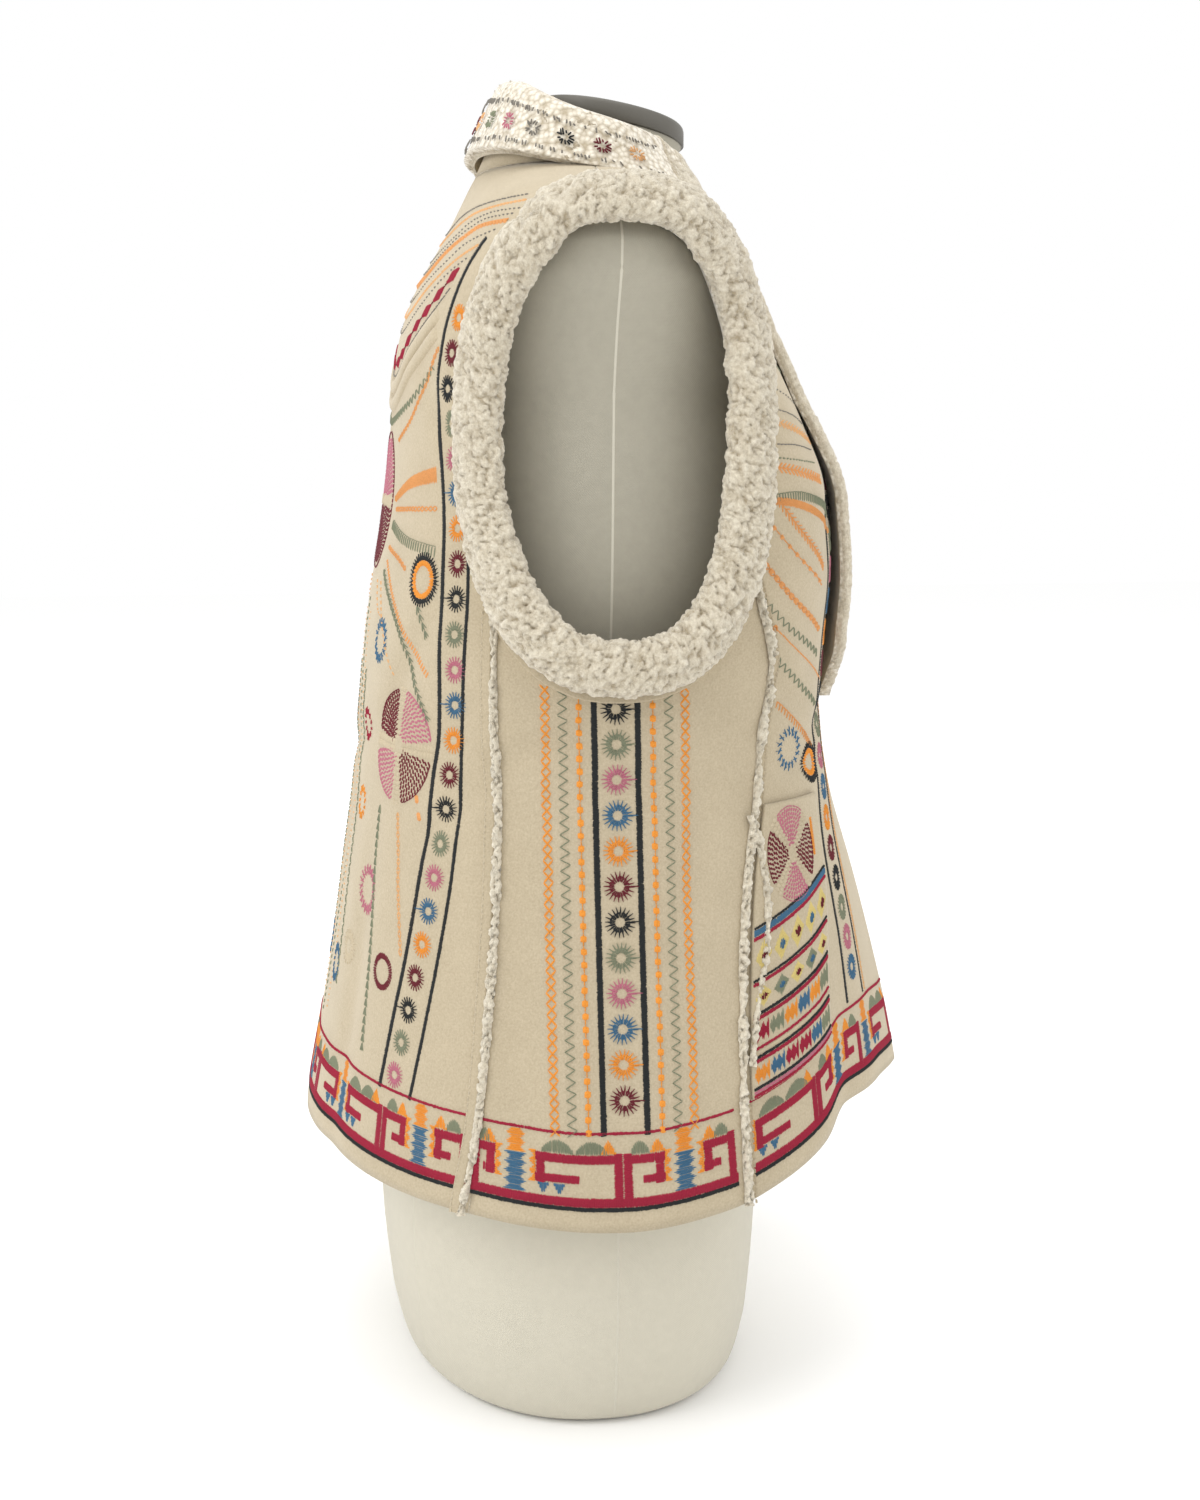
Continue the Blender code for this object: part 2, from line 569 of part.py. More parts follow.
def form_ring(height, angle):
    """Level section of the dress form, which meets the vest's inside at the shoulders."""
    sizes = (smooth_read(FORM, FORM_COLUMNS, name, height) for name in FORM_COLUMNS[1:4])
    x, y = section(angle, *sizes, FORM_SQUARE, FORM_SQUARE)
    own = np.stack([x, y + smooth_read(FORM, FORM_COLUMNS, "centre_y", height), height + 0 * x], -1)
    share = np.interp(height, FORM_CONTACT[:, 0], FORM_CONTACT[:, 1])
    if share == 0:
        return own
    hung = lifted(angle, height + 0 * angle, -(BODY_WALL + FORM_GAP) + 0 * angle)
    return own + (hung - own) * share


def add_form(linen, cap_material, parts):
    angle = np.linspace(-np.pi, np.pi, FORM_SIDES, endpoint=False)
    angle = angle + GATHER * np.sin(2 * angle) / 2
    rings = np.array([form_ring(height, angle) for height in FORM_HEIGHTS])
    top = rings[-1].copy()
    neck_y = column(FORM, FORM_COLUMNS, "centre_y")[-1]
    neck_radius = column(FORM, FORM_COLUMNS, "half_width")[-1]
    neck_top = column(FORM, FORM_COLUMNS, "height")[-1]
    rings[-1, :, 2] += NECK_TILT * (top[:, 1] - neck_y)
    add_tube("form_torso", rings, linen, parts)
    middle = np.array([0.0, neck_y, neck_top])
    wider = column(CAP, CAP_COLUMNS, "wider")[:, None, None]
    cap = middle + (top - middle) * (1 + wider / neck_radius)
    cap[..., 2] = neck_top + NECK_TILT * (cap[..., 1] - neck_y) + SEAM_GAP
    cap[..., 2] += column(CAP, CAP_COLUMNS, "rise")[:, None]
    add_tube("form_neck_cap", cap, cap_material, parts)


def make_material(name, colour, roughness):
    material = bpy.data.materials.new(name)
    material.use_nodes = True
    shader = material.node_tree.nodes["Principled BSDF"]
    shader.inputs["Base Color"].default_value = colour
    shader.inputs["Roughness"].default_value = roughness
    shader.inputs["Metallic"].default_value = 0.0
    return material


def main():
    for obj in list(bpy.data.objects):
        bpy.data.objects.remove(obj, do_unlink=True)
    parts = bpy.data.collections.new("shearling_vest")
    bpy.context.scene.collection.children.link(parts)
    suede = make_material("suede", SUEDE, 0.9)
    fleece = make_material("fleece", FLEECE, 1.0)
    linen = make_material("form_linen", LINEN, 0.85)
    cap = make_material("cap_grey", GREY_CAP, 0.6)
    add_front_panels(suede, parts)
    add_back_panel(suede, parts)
    add_side_panels(suede, parts)
    add_collar(fleece, parts)
    add_armhole_rolls(fleece, parts)
    add_seam_trims(fleece, parts)
    add_pockets(suede, parts)
    add_form(linen, cap, parts)


main()
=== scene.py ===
# Embroidered shearling vest on a limbless dress form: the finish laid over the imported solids.
# Metres, +Z up. The wearer faces -Y and the wearer's right side is at -X.
import math

import bpy
import numpy as np
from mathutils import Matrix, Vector


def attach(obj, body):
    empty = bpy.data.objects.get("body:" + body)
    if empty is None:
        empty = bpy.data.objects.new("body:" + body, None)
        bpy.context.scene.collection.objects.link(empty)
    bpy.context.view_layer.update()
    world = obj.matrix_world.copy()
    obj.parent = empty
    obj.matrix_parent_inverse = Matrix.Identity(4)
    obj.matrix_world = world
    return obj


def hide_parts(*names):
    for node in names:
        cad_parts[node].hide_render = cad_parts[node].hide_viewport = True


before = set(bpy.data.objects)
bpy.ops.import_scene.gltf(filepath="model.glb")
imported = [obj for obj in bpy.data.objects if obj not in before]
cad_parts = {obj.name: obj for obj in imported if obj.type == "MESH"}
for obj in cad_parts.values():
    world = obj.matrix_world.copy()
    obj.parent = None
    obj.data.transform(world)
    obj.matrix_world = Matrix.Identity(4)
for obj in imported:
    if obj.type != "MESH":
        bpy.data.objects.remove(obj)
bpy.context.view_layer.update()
print("stage: frame loaded,", len(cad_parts), "solids")

# The same level sections as the solids have, with each column named.
shellColumns = ("height", "halfWidth", "backDepth", "frontDepth", "backSquare", "frontSquare")
shellRows = np.array([
    (0.120, 0.217, 0.1690, 0.1960, 2.20, 2.20),
    (0.150, 0.212, 0.1650, 0.1910, 2.20, 2.20),
    (0.200, 0.203, 0.1555, 0.1825, 2.25, 2.25),
    (0.250, 0.194, 0.1465, 0.1720, 2.30, 2.30),
    (0.300, 0.185, 0.1390, 0.1610, 2.35, 2.35),
    (0.350, 0.177, 0.1315, 0.1490, 2.40, 2.50),
    (0.400, 0.171, 0.1270, 0.1410, 2.40, 2.65),
    (0.440, 0.168, 0.1230, 0.1420, 2.40, 2.80),
    (0.480, 0.166, 0.1165, 0.1445, 2.35, 2.90),
    (0.520, 0.165, 0.1100, 0.1425, 2.30, 2.90),
    (0.560, 0.166, 0.1055, 0.1270, 2.30, 2.80),
    (0.600, 0.169, 0.1015, 0.1075, 2.35, 2.60),
    (0.630, 0.174, 0.0930, 0.0925, 2.40, 2.40),
    (0.650, 0.176, 0.0830, 0.0805, 2.40, 2.40),
    (0.665, 0.168, 0.0740, 0.0740, 2.35, 2.35),
    (0.678, 0.146, 0.0670, 0.0680, 2.30, 2.30),
    (0.688, 0.117, 0.0620, 0.0630, 2.20, 2.20),
    (0.697, 0.088, 0.0575, 0.0600, 2.10, 2.10),
    (0.704, 0.068, 0.0535, 0.0570, 2.00, 2.00),
])
hemColumns = ("angle", "height")
hemRows = np.array([
    (0, 0.175), (20, 0.176), (34, 0.181), (46, 0.180), (56, 0.169), (66, 0.158),
    (76, 0.149), (91, 0.1435), (103, 0.146), (116, 0.150), (140, 0.152), (165, 0.150), (180, 0.146),
])
seamColumns = ("height", "front", "back")
seamRows = np.array([
    (0.150, 72.8, 115.6), (0.200, 72.4, 113.4), (0.260, 71.0, 112.4), (0.320, 68.3, 111.9),
    (0.360, 65.3, 111.9), (0.400, 63.2, 112.9), (0.430, 60.6, 113.2), (0.465, 63.6, 113.2),
    (0.490, 66.2, 113.5), (0.512, 67.5, 114.0), (0.540, 68.5, 114.0),
])
frontColumns = ("height", "edgeX", "flare")
frontRows = np.array([
    (0.160, 0.064, 0.0120), (0.220, 0.061, 0.0105), (0.280, 0.057, 0.0075), (0.330, 0.053, 0.0040),
    (0.390, 0.047, 0.0), (0.460, 0.043, 0.0), (0.560, 0.045, 0.0), (0.640, 0.052, 0.0),
    (0.680, 0.055, 0.0), (0.702, 0.055, 0.0),
])
foldColumns = ("station", "stand", "radius", "fall", "lean", "upward", "inward")
foldRows = np.array([
    (0.402, 0.002, 0.0020, 0.0040, 0.00, 0.00, 0.60),
    (0.418, 0.003, 0.0026, 0.0240, -0.02, 0.00, 0.60),
    (0.436, 0.003, 0.0028, 0.0450, -0.05, 0.00, 0.60),
    (0.470, 0.003, 0.0026, 0.0530, -0.075, 0.00, 0.60),
    (0.540, 0.003, 0.0018, 0.0550, -0.105, 0.00, 0.60),
    (0.600, 0.004, 0.0013, 0.0530, -0.115, 0.05, 0.60),
    (0.650, 0.005, 0.0013, 0.0460, -0.07, 0.30, 0.60),
    (0.678, 0.006, 0.0013, 0.0370, 0.04, 0.58, 0.55),
    (0.690, 0.007, 0.0013, 0.0290, 0.18, 0.75, 0.45),
    (0.702, 0.009, 0.0013, 0.0230, 0.34, 0.92, 0.26),
    (0.740, 0.018, 0.0015, 0.0250, 0.20, 1.00, 0.20),
    (0.790, 0.041, 0.0013, 0.0350, 0.06, 1.00, 0.38),
    (0.840, 0.049, 0.0012, 0.0390, 0.02, 1.00, 0.46),
])
formColumns = ("height", "halfWidth", "backDepth", "frontDepth", "centreY")
formRows = np.array([
    (0.000, 0.1440, 0.1030, 0.0940, 0.000), (0.006, 0.1515, 0.1090, 0.1000, 0.000),
    (0.030, 0.1580, 0.1145, 0.1050, 0.000), (0.100, 0.1640, 0.1200, 0.1095, 0.000),
    (0.200, 0.1560, 0.1130, 0.1110, 0.000), (0.290, 0.1350, 0.0960, 0.1020, 0.000),
    (0.350, 0.1270, 0.0890, 0.1020, 0.000), (0.420, 0.1350, 0.0920, 0.1140, 0.000),
    (0.480, 0.1430, 0.0930, 0.1240, 0.000), (0.540, 0.1460, 0.0900, 0.1180, 0.000),
    (0.590, 0.1480, 0.0880, 0.0980, 0.000), (0.630, 0.1500, 0.0800, 0.0820, 0.000),
    (0.697, 0.0640, 0.0440, 0.0490, 0.000), (0.703, 0.0550, 0.0430, 0.0460, -0.006),
    (0.710, 0.0510, 0.0425, 0.0440, -0.012), (0.718, 0.0485, 0.0425, 0.0430, -0.018),
    (0.727, 0.0475, 0.0425, 0.0425, -0.023),
])
vest = {
    "axisY": 0.0133,  # the form's axis in the frame
    "bodyWall": 0.0050, "foldWall": 0.0068,
    "neckHeight": 0.702, "breakHeight": 0.402, "flareReach": 0.075,
    "seamGap": 0.0003, "gorgeGap": 0.0006,
    "skirtTop": 0.375, "skirtFoot": 0.175,
    "troughPower": 1.5, "creaseDepth": 1.5, "crest": 0.35, "crestSpread": 5,
}
# Soft troughs that fall to the hem: angle, width, depth at the hem, height where each dies away.
troughs = np.array([
    (-47.0, 7.0, 0.0090, 0.330), (43.0, 8.0, 0.0075, 0.310), (-151.0, 11.0, 0.0025, 0.360),
    (146.0, 12.0, 0.0030, 0.330), (107.0, 7.0, 0.0025, 0.300),
])
# Creases in the cloth: angle, height, half width and half length in metres, tilt in degrees
# from upright, depth. Minus angles are the wearer's right.
creases = np.array([
    (-104, 0.395, 0.007, 0.030, 68, 0.0014), (-88, 0.372, 0.009, 0.042, 80, 0.0010),
    (-122, 0.352, 0.008, 0.034, 55, 0.0013), (-78, 0.330, 0.010, 0.050, 12, 0.0011),
    (-108, 0.255, 0.012, 0.070, -6, 0.0015), (-92, 0.215, 0.013, 0.055, 4, 0.0012),
    (-138, 0.420, 0.010, 0.050, 35, 0.0016), (-160, 0.385, 0.009, 0.036, 72, 0.0012),
    (-128, 0.560, 0.009, 0.038, -38, 0.0013), (-150, 0.250, 0.014, 0.080, 5, 0.0018),
    (-58, 0.420, 0.008, 0.034, -52, 0.0013), (-52, 0.372, 0.007, 0.026, 84, 0.0015),
    (-40, 0.395, 0.008, 0.030, 66, 0.0012), (-36, 0.520, 0.010, 0.045, 24, 0.0012),
    (100, 0.388, 0.008, 0.036, 74, 0.0012), (86, 0.360, 0.008, 0.028, 62, 0.0011),
    (124, 0.372, 0.009, 0.044, 60, 0.0014), (74, 0.290, 0.011, 0.060, 8, 0.0012),
    (112, 0.236, 0.012, 0.062, -8, 0.0014), (96, 0.205, 0.014, 0.048, 3, 0.0011),
    (142, 0.440, 0.010, 0.040, 42, 0.0015), (164, 0.365, 0.009, 0.044, 66, 0.0011),
    (130, 0.585, 0.009, 0.034, -44, 0.0012), (154, 0.262, 0.013, 0.075, -4, 0.0017),
    (56, 0.408, 0.008, 0.038, -58, 0.0012), (44, 0.380, 0.008, 0.024, 80, 0.0013),
    (34, 0.500, 0.010, 0.050, 20, 0.0011), (178, 0.330, 0.012, 0.060, 2, 0.0013),
])
quarterTurn = np.pi / 2


# A cubic through a table's rows whose slope at each row is the harmonic mean of its neighbours.
def readTable(rows, columns, name, x):
    keys, values = rows[:, 0], rows[:, columns.index(name)]
    x = np.clip(np.asarray(x, float), keys[0], keys[-1])
    step = np.diff(keys)
    rise = np.diff(values) / step
    slope = np.empty(len(keys))
    slope[0], slope[-1] = rise[0], rise[-1]
    product = rise[:-1] * rise[1:]
    total = np.where(product > 0, rise[:-1] + rise[1:], 1.0)
    slope[1:-1] = np.where(product > 0, 2 * product / total, 0.0)
    i = np.clip(np.searchsorted(keys, x) - 1, 0, len(keys) - 2)
    t = (x - keys[i]) / step[i]
    return ((2 * t**3 - 3 * t**2 + 1) * values[i] + (t**3 - 2 * t**2 + t) * step[i] * slope[i]
            + (3 * t**2 - 2 * t**3) * values[i + 1] + (t**3 - t**2) * step[i] * slope[i + 1])


def shellAt(name, height):
    return readTable(shellRows, shellColumns, name, height)


def unit(vectors):
    return vectors / np.maximum(np.linalg.norm(vectors, axis=-1, keepdims=True), 1e-12)


# Squared oval in polar form: reach = ((sin/width)^s + (cos/depth)^s) ^ (-1/s).
def section(angle, halfWidth, backDepth, frontDepth, backSquare, frontSquare):
    sine, cosine = np.sin(angle), np.cos(angle)
    depth = np.where(cosine > 0, frontDepth, backDepth)
    square = np.where(cosine > 0, frontSquare, backSquare)
    reach = (np.abs(sine) / halfWidth) ** square + (np.abs(cosine) / depth) ** square
    reach = reach ** (-1 / square)
    return reach * sine, -reach * cosine


# Outer face of the vest: a level section, the front edges swung forward, less every trough and
# crease. A trough is a bell across that deepens to the hem. A crease is a bell both ways, with a
# low crest beside it.
def drape(angle, height):
    angle, height = np.broadcast_arrays(np.asarray(angle, float), np.asarray(height, float))
    x, y = section(angle, *(shellAt(name, height) for name in shellColumns[1:]))
    fromEdge = np.abs(x) - readTable(frontRows, frontColumns, "edgeX", height)
    nearEdge = np.clip(1 - fromEdge / vest["flareReach"], 0, 1) * (np.cos(angle) > 0)
    y = y - readTable(frontRows, frontColumns, "flare", height) * nearEdge**2
    radius = np.hypot(x, y)
    inward = np.zeros_like(radius)
    degrees = np.degrees(angle)
    lowest = hemRows[:, 1].min()
    for centre, width, depth, top in troughs:
        across = np.exp(-((degrees - centre) / width) ** 2)
        inward += depth * across * np.clip((top - height) / (top - lowest), 0, 1) ** vest["troughPower"]
    for centre, middle, wide, long, tilt, depth in creases:
        turn = (degrees - centre + 180) % 360 - 180
        side, up = np.radians(turn) * radius, height - middle
        cosine, sine = math.cos(math.radians(tilt)), math.sin(math.radians(tilt))
        across, along = side * cosine - up * sine, side * sine + up * cosine
        fold = (across / wide) ** 2
        crest = vest["crest"] * np.exp(-fold / vest["crestSpread"])
        bell = ((1 + vest["crest"]) * np.exp(-fold) - crest) * np.exp(-(along / long) ** 2)
        inward += vest["creaseDepth"] * depth * bell
    scale = 1 - inward / radius
    return np.stack([x * scale, y * scale, height], -1)


# Unit normal from small steps along both parameters.
def outward(angle, height):
    small = 2e-4
    along = drape(angle + small, height) - drape(angle - small, height)
    up = drape(angle, height + small) - drape(angle, height - small)
    return unit(np.cross(along, up))


def lifted(angle, height, lift):
    return drape(angle, height) + outward(angle, height) * np.asarray(lift)[..., None]


def angleAtX(x, height):
    square = shellAt("frontSquare", height)
    inner = 1 - (x / shellAt("halfWidth", height)) ** square
    return np.arctan2(x, shellAt("frontDepth", height) * inner ** (1 / square))


def angleAtY(y, height):
    depth = np.where(y < 0, shellAt("frontDepth", height), shellAt("backDepth", height))
    square = np.where(y < 0, shellAt("frontSquare", height), shellAt("backSquare", height))
    inner = 1 - np.minimum(np.abs(y) / depth, 1) ** square
    return np.arctan2(shellAt("halfWidth", height) * inner ** (1 / square), -y)


def hemHeight(angle):
    return readTable(hemRows, hemColumns, "height", np.degrees(np.abs(angle)))


def seamAt(name, height):
    return np.radians(readTable(seamRows, seamColumns, name, height))


def edgeAngle(height):
    return angleAtX(readTable(frontRows, frontColumns, "edgeX", height), height)


armhole = {
    "centreY": -0.0005, "centreZ": 0.5490, "halfDepth": 0.0645, "halfHeight": 0.1145,
    "square": 2.45,
    "rollWidth": 0.0145, "rollHeight": 0.0095, "rollGap": 0.0009,
}


def armDepth(height):
    rise = np.minimum(np.abs(height - armhole["centreZ"]) / armhole["halfHeight"], 1)
    return armhole["halfDepth"] * (1 - rise ** armhole["square"]) ** (1 / armhole["square"])


def armBottom(y):
    side = np.minimum(np.abs(y - armhole["centreY"]) / armhole["halfDepth"], 1)
    rise = (1 - side ** armhole["square"]) ** (1 / armhole["square"])
    return armhole["centreZ"] - armhole["halfHeight"] * rise


def halfGap(height):
    return vest["seamGap"] / 2 / shellAt("halfWidth", height)


def frontSideEdge(height):
    arm = angleAtY(armhole["centreY"] - armDepth(height), height)
    below = np.where(height < armhole["centreZ"], np.minimum(seamAt("front", height), arm),
                     np.minimum(arm, quarterTurn))
    return below - halfGap(height)


def backSideEdge(height):
    arm = angleAtY(armhole["centreY"] + armDepth(height), height)
    below = np.where(height < armhole["centreZ"], np.maximum(seamAt("back", height), arm),
                     np.maximum(arm, quarterTurn))
    return below + halfGap(height)


# Rows of a panel: the lowest is its hem, and the rest settle level by the skirt's top.
def levelHeights(angle, heights):
    rise = np.clip((heights - vest["skirtFoot"]) / (vest["skirtTop"] - vest["skirtFoot"]), 0, 1)
    hem = hemHeight(angle)
    return np.where(heights < vest["skirtTop"], hem + (vest["skirtTop"] - hem) * rise, heights)


def gathered(share, amount):
    return share - amount * np.sin(2 * np.pi * share) / (2 * np.pi)


# Length along a line of points in space, from its first point.
def runLength(points):
    return np.concatenate([[0], np.cumsum(np.linalg.norm(np.diff(points, axis=0), axis=1))])


# Positive or minus values raised to a power with their sign kept.
def signedPower(values, power):
    return np.sign(values) * np.abs(values) ** power


def seeded(number):
    return np.random.default_rng(number)


# Mixes the integer corners of a lattice into even random numbers from 0 to 1.
def latticeRandom(cells, salt):
    mixed = cells[..., 0] * 73856093 ^ cells[..., 1] * 19349663 ^ cells[..., 2] * 83492791
    mixed = (mixed + salt * 2654435761) & 0xFFFFFFFF
    mixed = (mixed ^ (mixed >> 15)) * 2246822519 & 0xFFFFFFFF
    mixed = (mixed ^ (mixed >> 13)) * 3266489917 & 0xFFFFFFFF
    return ((mixed ^ (mixed >> 16)) & 0xFFFFFF) / 0xFFFFFF


curlShape = {
    "warp": 0.35, "warpTurns": 2.1, "reach": 0.62, "reachSpread": 0.30, "tall": 0.60,
    "tallSpread": 0.40, "curlShare": 0.75,
}


# Height of curled wool over points in space: each lattice cell holds one curl, a dome of its
# own size round a point of its own, and the tallest dome at a place wins.
def curlHeight(points, size, salt=0):
    turned = points * curlShape["warpTurns"] / size + salt
    warp = np.stack([np.sin(turned[..., (k + 1) % 3] + k) for k in range(3)], -1)
    scaled = points / size + curlShape["warp"] * warp
    home = np.floor(scaled).astype(np.int64)
    best = np.zeros(points.shape[:-1])
    for dx in (-1, 0, 1):
        for dy in (-1, 0, 1):
            for dz in (-1, 0, 1):
                cell = home + (dx, dy, dz)
                spot = np.stack([latticeRandom(cell, salt + k) for k in (1, 2, 3)], -1)
                away = np.linalg.norm(scaled - cell - spot, axis=-1)
                reach = curlShape["reach"] + curlShape["reachSpread"] * latticeRandom(cell, salt + 4)
                tall = curlShape["tall"] + curlShape["tallSpread"] * latticeRandom(cell, salt + 5)
                dome = tall * np.sqrt(np.clip(1 - (away / reach) ** 2, 0, None))
                best = np.maximum(best, dome)
    return best


# Curls on lumps: how far each point is lifted, and how near it lies to the top of the pile, which sets the
# fleece's painted shade, darker in its hollows.
def curled(points, sizes, salt):
    curl = curlHeight(points, sizes["curl"], salt)
    lump = curlHeight(points, sizes["lump"], salt + 20)
    lift = curl * sizes["curlLift"] + lump * sizes["lumpLift"]
    return lift, curlShape["curlShare"] * curl + (1 - curlShape["curlShare"]) * lump


# Materials. A Net holds one node tree, and a Wire is a socket that takes Python arithmetic.
class Wire:
    def __init__(self, net, socket):
        self.net, self.socket = net, socket

    def math(self, operation, other=None, swapped=False):
        inputs = [self] if other is None else [other, self] if swapped else [self, other]
        return self.net.node("ShaderNodeMath", {"operation": operation}, dict(enumerate(inputs)))

    def __add__(self, other):
        return self.math("ADD", other)

    __radd__ = __add__

    def __mul__(self, other):
        return self.math("MULTIPLY", other)

    __rmul__ = __mul__

    def __sub__(self, other):
        return self.math("SUBTRACT", other)

    def __rsub__(self, other):
        return self.math("SUBTRACT", other, True)

    def __truediv__(self, other):
        return self.math("DIVIDE", other)

    def __pow__(self, other):
        return self.math("POWER", other)

    def clamped(self):
        return self.net.node("ShaderNodeClamp", {}, {0: self})


class Net:
    def __init__(self, name):
        self.material = bpy.data.materials.new(name)
        self.material.use_nodes = True
        self.tree = self.material.node_tree
        self.shader = self.tree.nodes["Principled BSDF"]

    # Any node: settings first, then the values or wires of its sockets.
    def node(self, kind, settings=None, inputs=None, output=0):
        made = self.tree.nodes.new(kind)
        for name, value in (settings or {}).items():
            if name == "stops":
                for place, (at, colour) in enumerate(value):
                    stop = (made.color_ramp.elements[place] if place < 2
                            else made.color_ramp.elements.new(at))
                    stop.position, stop.color = at, colour
            else:
                setattr(made, name, value)
        for key, value in (inputs or {}).items():
            self.feed(made.inputs[key], value)
        return Wire(self, made.outputs[output])

    def feed(self, socket, value):
        if isinstance(value, Wire):
            self.tree.links.new(value.socket, socket)
        else:
            socket.default_value = value

    def place(self):
        return self.node("ShaderNodeTexCoord", {}, {}, "Object")

    def noise(self, scale, detail=3.0, roughness=0.55, where=None):
        inputs = {"Vector": where or self.place(), "Scale": scale, "Detail": detail,
                  "Roughness": roughness}
        return self.node("ShaderNodeTexNoise", {}, inputs, "Fac")

    # Colour between two colours by a factor from 0 to 1.
    def mix(self, factor, first, second):
        made = self.tree.nodes.new("ShaderNodeMix")
        made.data_type = "RGBA"
        for key, value in ((0, factor), (6, first), (7, second)):
            self.feed(made.inputs[key], value)
        return Wire(self, made.outputs[2])

    def bump(self, height, strength, distance):
        return self.node("ShaderNodeBump", {}, {"Height": height, "Strength": strength,
                                                "Distance": distance})

    # The finish's colour and bump, and whatever else its dictionary gives.
    def finished(self, look, colour, normal=None):
        self.feed(self.shader.inputs["Base Color"], colour)
        if normal is not None:
            self.feed(self.shader.inputs["Normal"], normal)
        for key, socket in finishSockets.items():
            if key in look:
                self.feed(self.shader.inputs[socket], look[key])
        return self.material


finishSockets = {
    "roughness": "Roughness", "sheen": "Sheen Weight", "sheenRoughness": "Sheen Roughness",
    "sheenTint": "Sheen Tint", "ior": "IOR", "gloss": "Specular IOR Level",
}


suedeLook = {
    "pale": (0.495, 0.420, 0.298, 1), "deep": (0.365, 0.303, 0.205, 1),
    "mottleScale": 34.0, "napScale": 900.0, "grainScale": 2400.0, "softScale": 24.0, "softDepth": 4.0,
    "roughness": 0.92, "sheen": 0.35, "sheenRoughness": 0.45, "sheenTint": (0.95, 0.90, 0.80, 1),
    "ior": 1.4, "gloss": 0.25,
}


# Suede: two scales of mottling in the colour, and a nap of fine felted fibres in the bump.
def suedeMaterial():
    net, look = Net("suede"), suedeLook
    mottle = net.noise(look["mottleScale"], 4.0, 0.6)
    nap = net.noise(look["napScale"], 2.0, 0.6)
    shade = (mottle * 0.6 + nap * 1.5 - 0.55).clamped()
    colour = net.mix(shade, look["pale"], look["deep"])
    grain = net.noise(look["grainScale"], 2.0, 0.5)
    soft = net.noise(look["softScale"], 2.0, 0.45)
    normal = net.bump(nap * 0.7 + grain * 0.3 + soft * look["softDepth"], 0.6, 0.0006)
    return net.finished(look, colour, normal)


# The root colour is the painted shade of the fleece's hollows.
fleeceLook = {
    "tip": (0.765, 0.702, 0.565, 1), "root": (0.395, 0.320, 0.208, 1),
    "curlScale": 620.0, "fibreScale": 1700.0,
    "roughness": 1.0, "sheen": 0.6, "sheenRoughness": 0.6, "sheenTint": (1.0, 0.97, 0.90, 1),
    "gloss": 0.2,
}


# Fleece: pale curl tips over darker, warmer roots, by the depth that each piece stores on its points; the
# root colour is painted shade in the hollows of the pile.
def fleeceMaterial():
    net, look = Net("fleece"), fleeceLook
    depth = net.node("ShaderNodeAttribute", {"attribute_name": "curl"}, {}, "Fac")
    curls = net.noise(look["curlScale"], 3.0, 0.7)
    fibre = net.noise(look["fibreScale"], 2.0, 0.6)
    # Painted shade: darker low in the pile, and darker where the fine curl noise, which also makes the bump,
    # is low.
    factor = (depth * 0.85 + curls * 1.6 - 0.78).clamped()
    colour = net.mix(factor, look["root"], look["tip"])
    normal = net.bump(curls * 0.6 + fibre * 0.4, 1.0, 0.0018)
    return net.finished(look, colour, normal)


# The root colour is the painted shade between the clumps.
insideLook = {
    "tip": (0.840, 0.780, 0.660, 1), "root": (0.430, 0.360, 0.250, 1), "curlScale": 330.0,
    "fibreScale": 1500.0, "roughness": 1.0, "sheen": 0.5, "sheenRoughness": 0.6, "gloss": 0.2,
}


# Wool inside the vest and along its cut edges: clumps by cell distance, then fine fibres; the darker root
# colour between the clumps is painted shade.
def insideMaterial():
    net, look = Net("fleece_inside"), insideLook
    cells = {"Vector": net.place(), "Scale": look["curlScale"], "Randomness": 1.0}
    clumps = net.node("ShaderNodeTexVoronoi", {}, cells, "Distance")
    fibre = net.noise(look["fibreScale"], 2.0, 0.6)
    # Painted shade: darker towards the clumps' edges, where the bump is low.
    factor = (1.15 - clumps * 1.5 + fibre * 0.25).clamped()
    colour = net.mix(factor, look["root"], look["tip"])
    normal = net.bump(1.0 - clumps + fibre * 0.3, 0.9, 0.0015)
    return net.finished(look, colour, normal)


linenLook = {
    "pale": (0.575, 0.540, 0.442, 1), "deep": (0.355, 0.332, 0.266, 1),
    "threadsPerMetre": 1500.0, "weaveDepth": 0.00025, "paintedShadeFrom": 0.22, "paintedShadeSpan": 0.30,
    "slubScale": 160.0, "stainScale": 9.0,
    "roughness": 0.86, "sheen": 0.15, "sheenRoughness": 0.5, "gloss": 0.3,
}


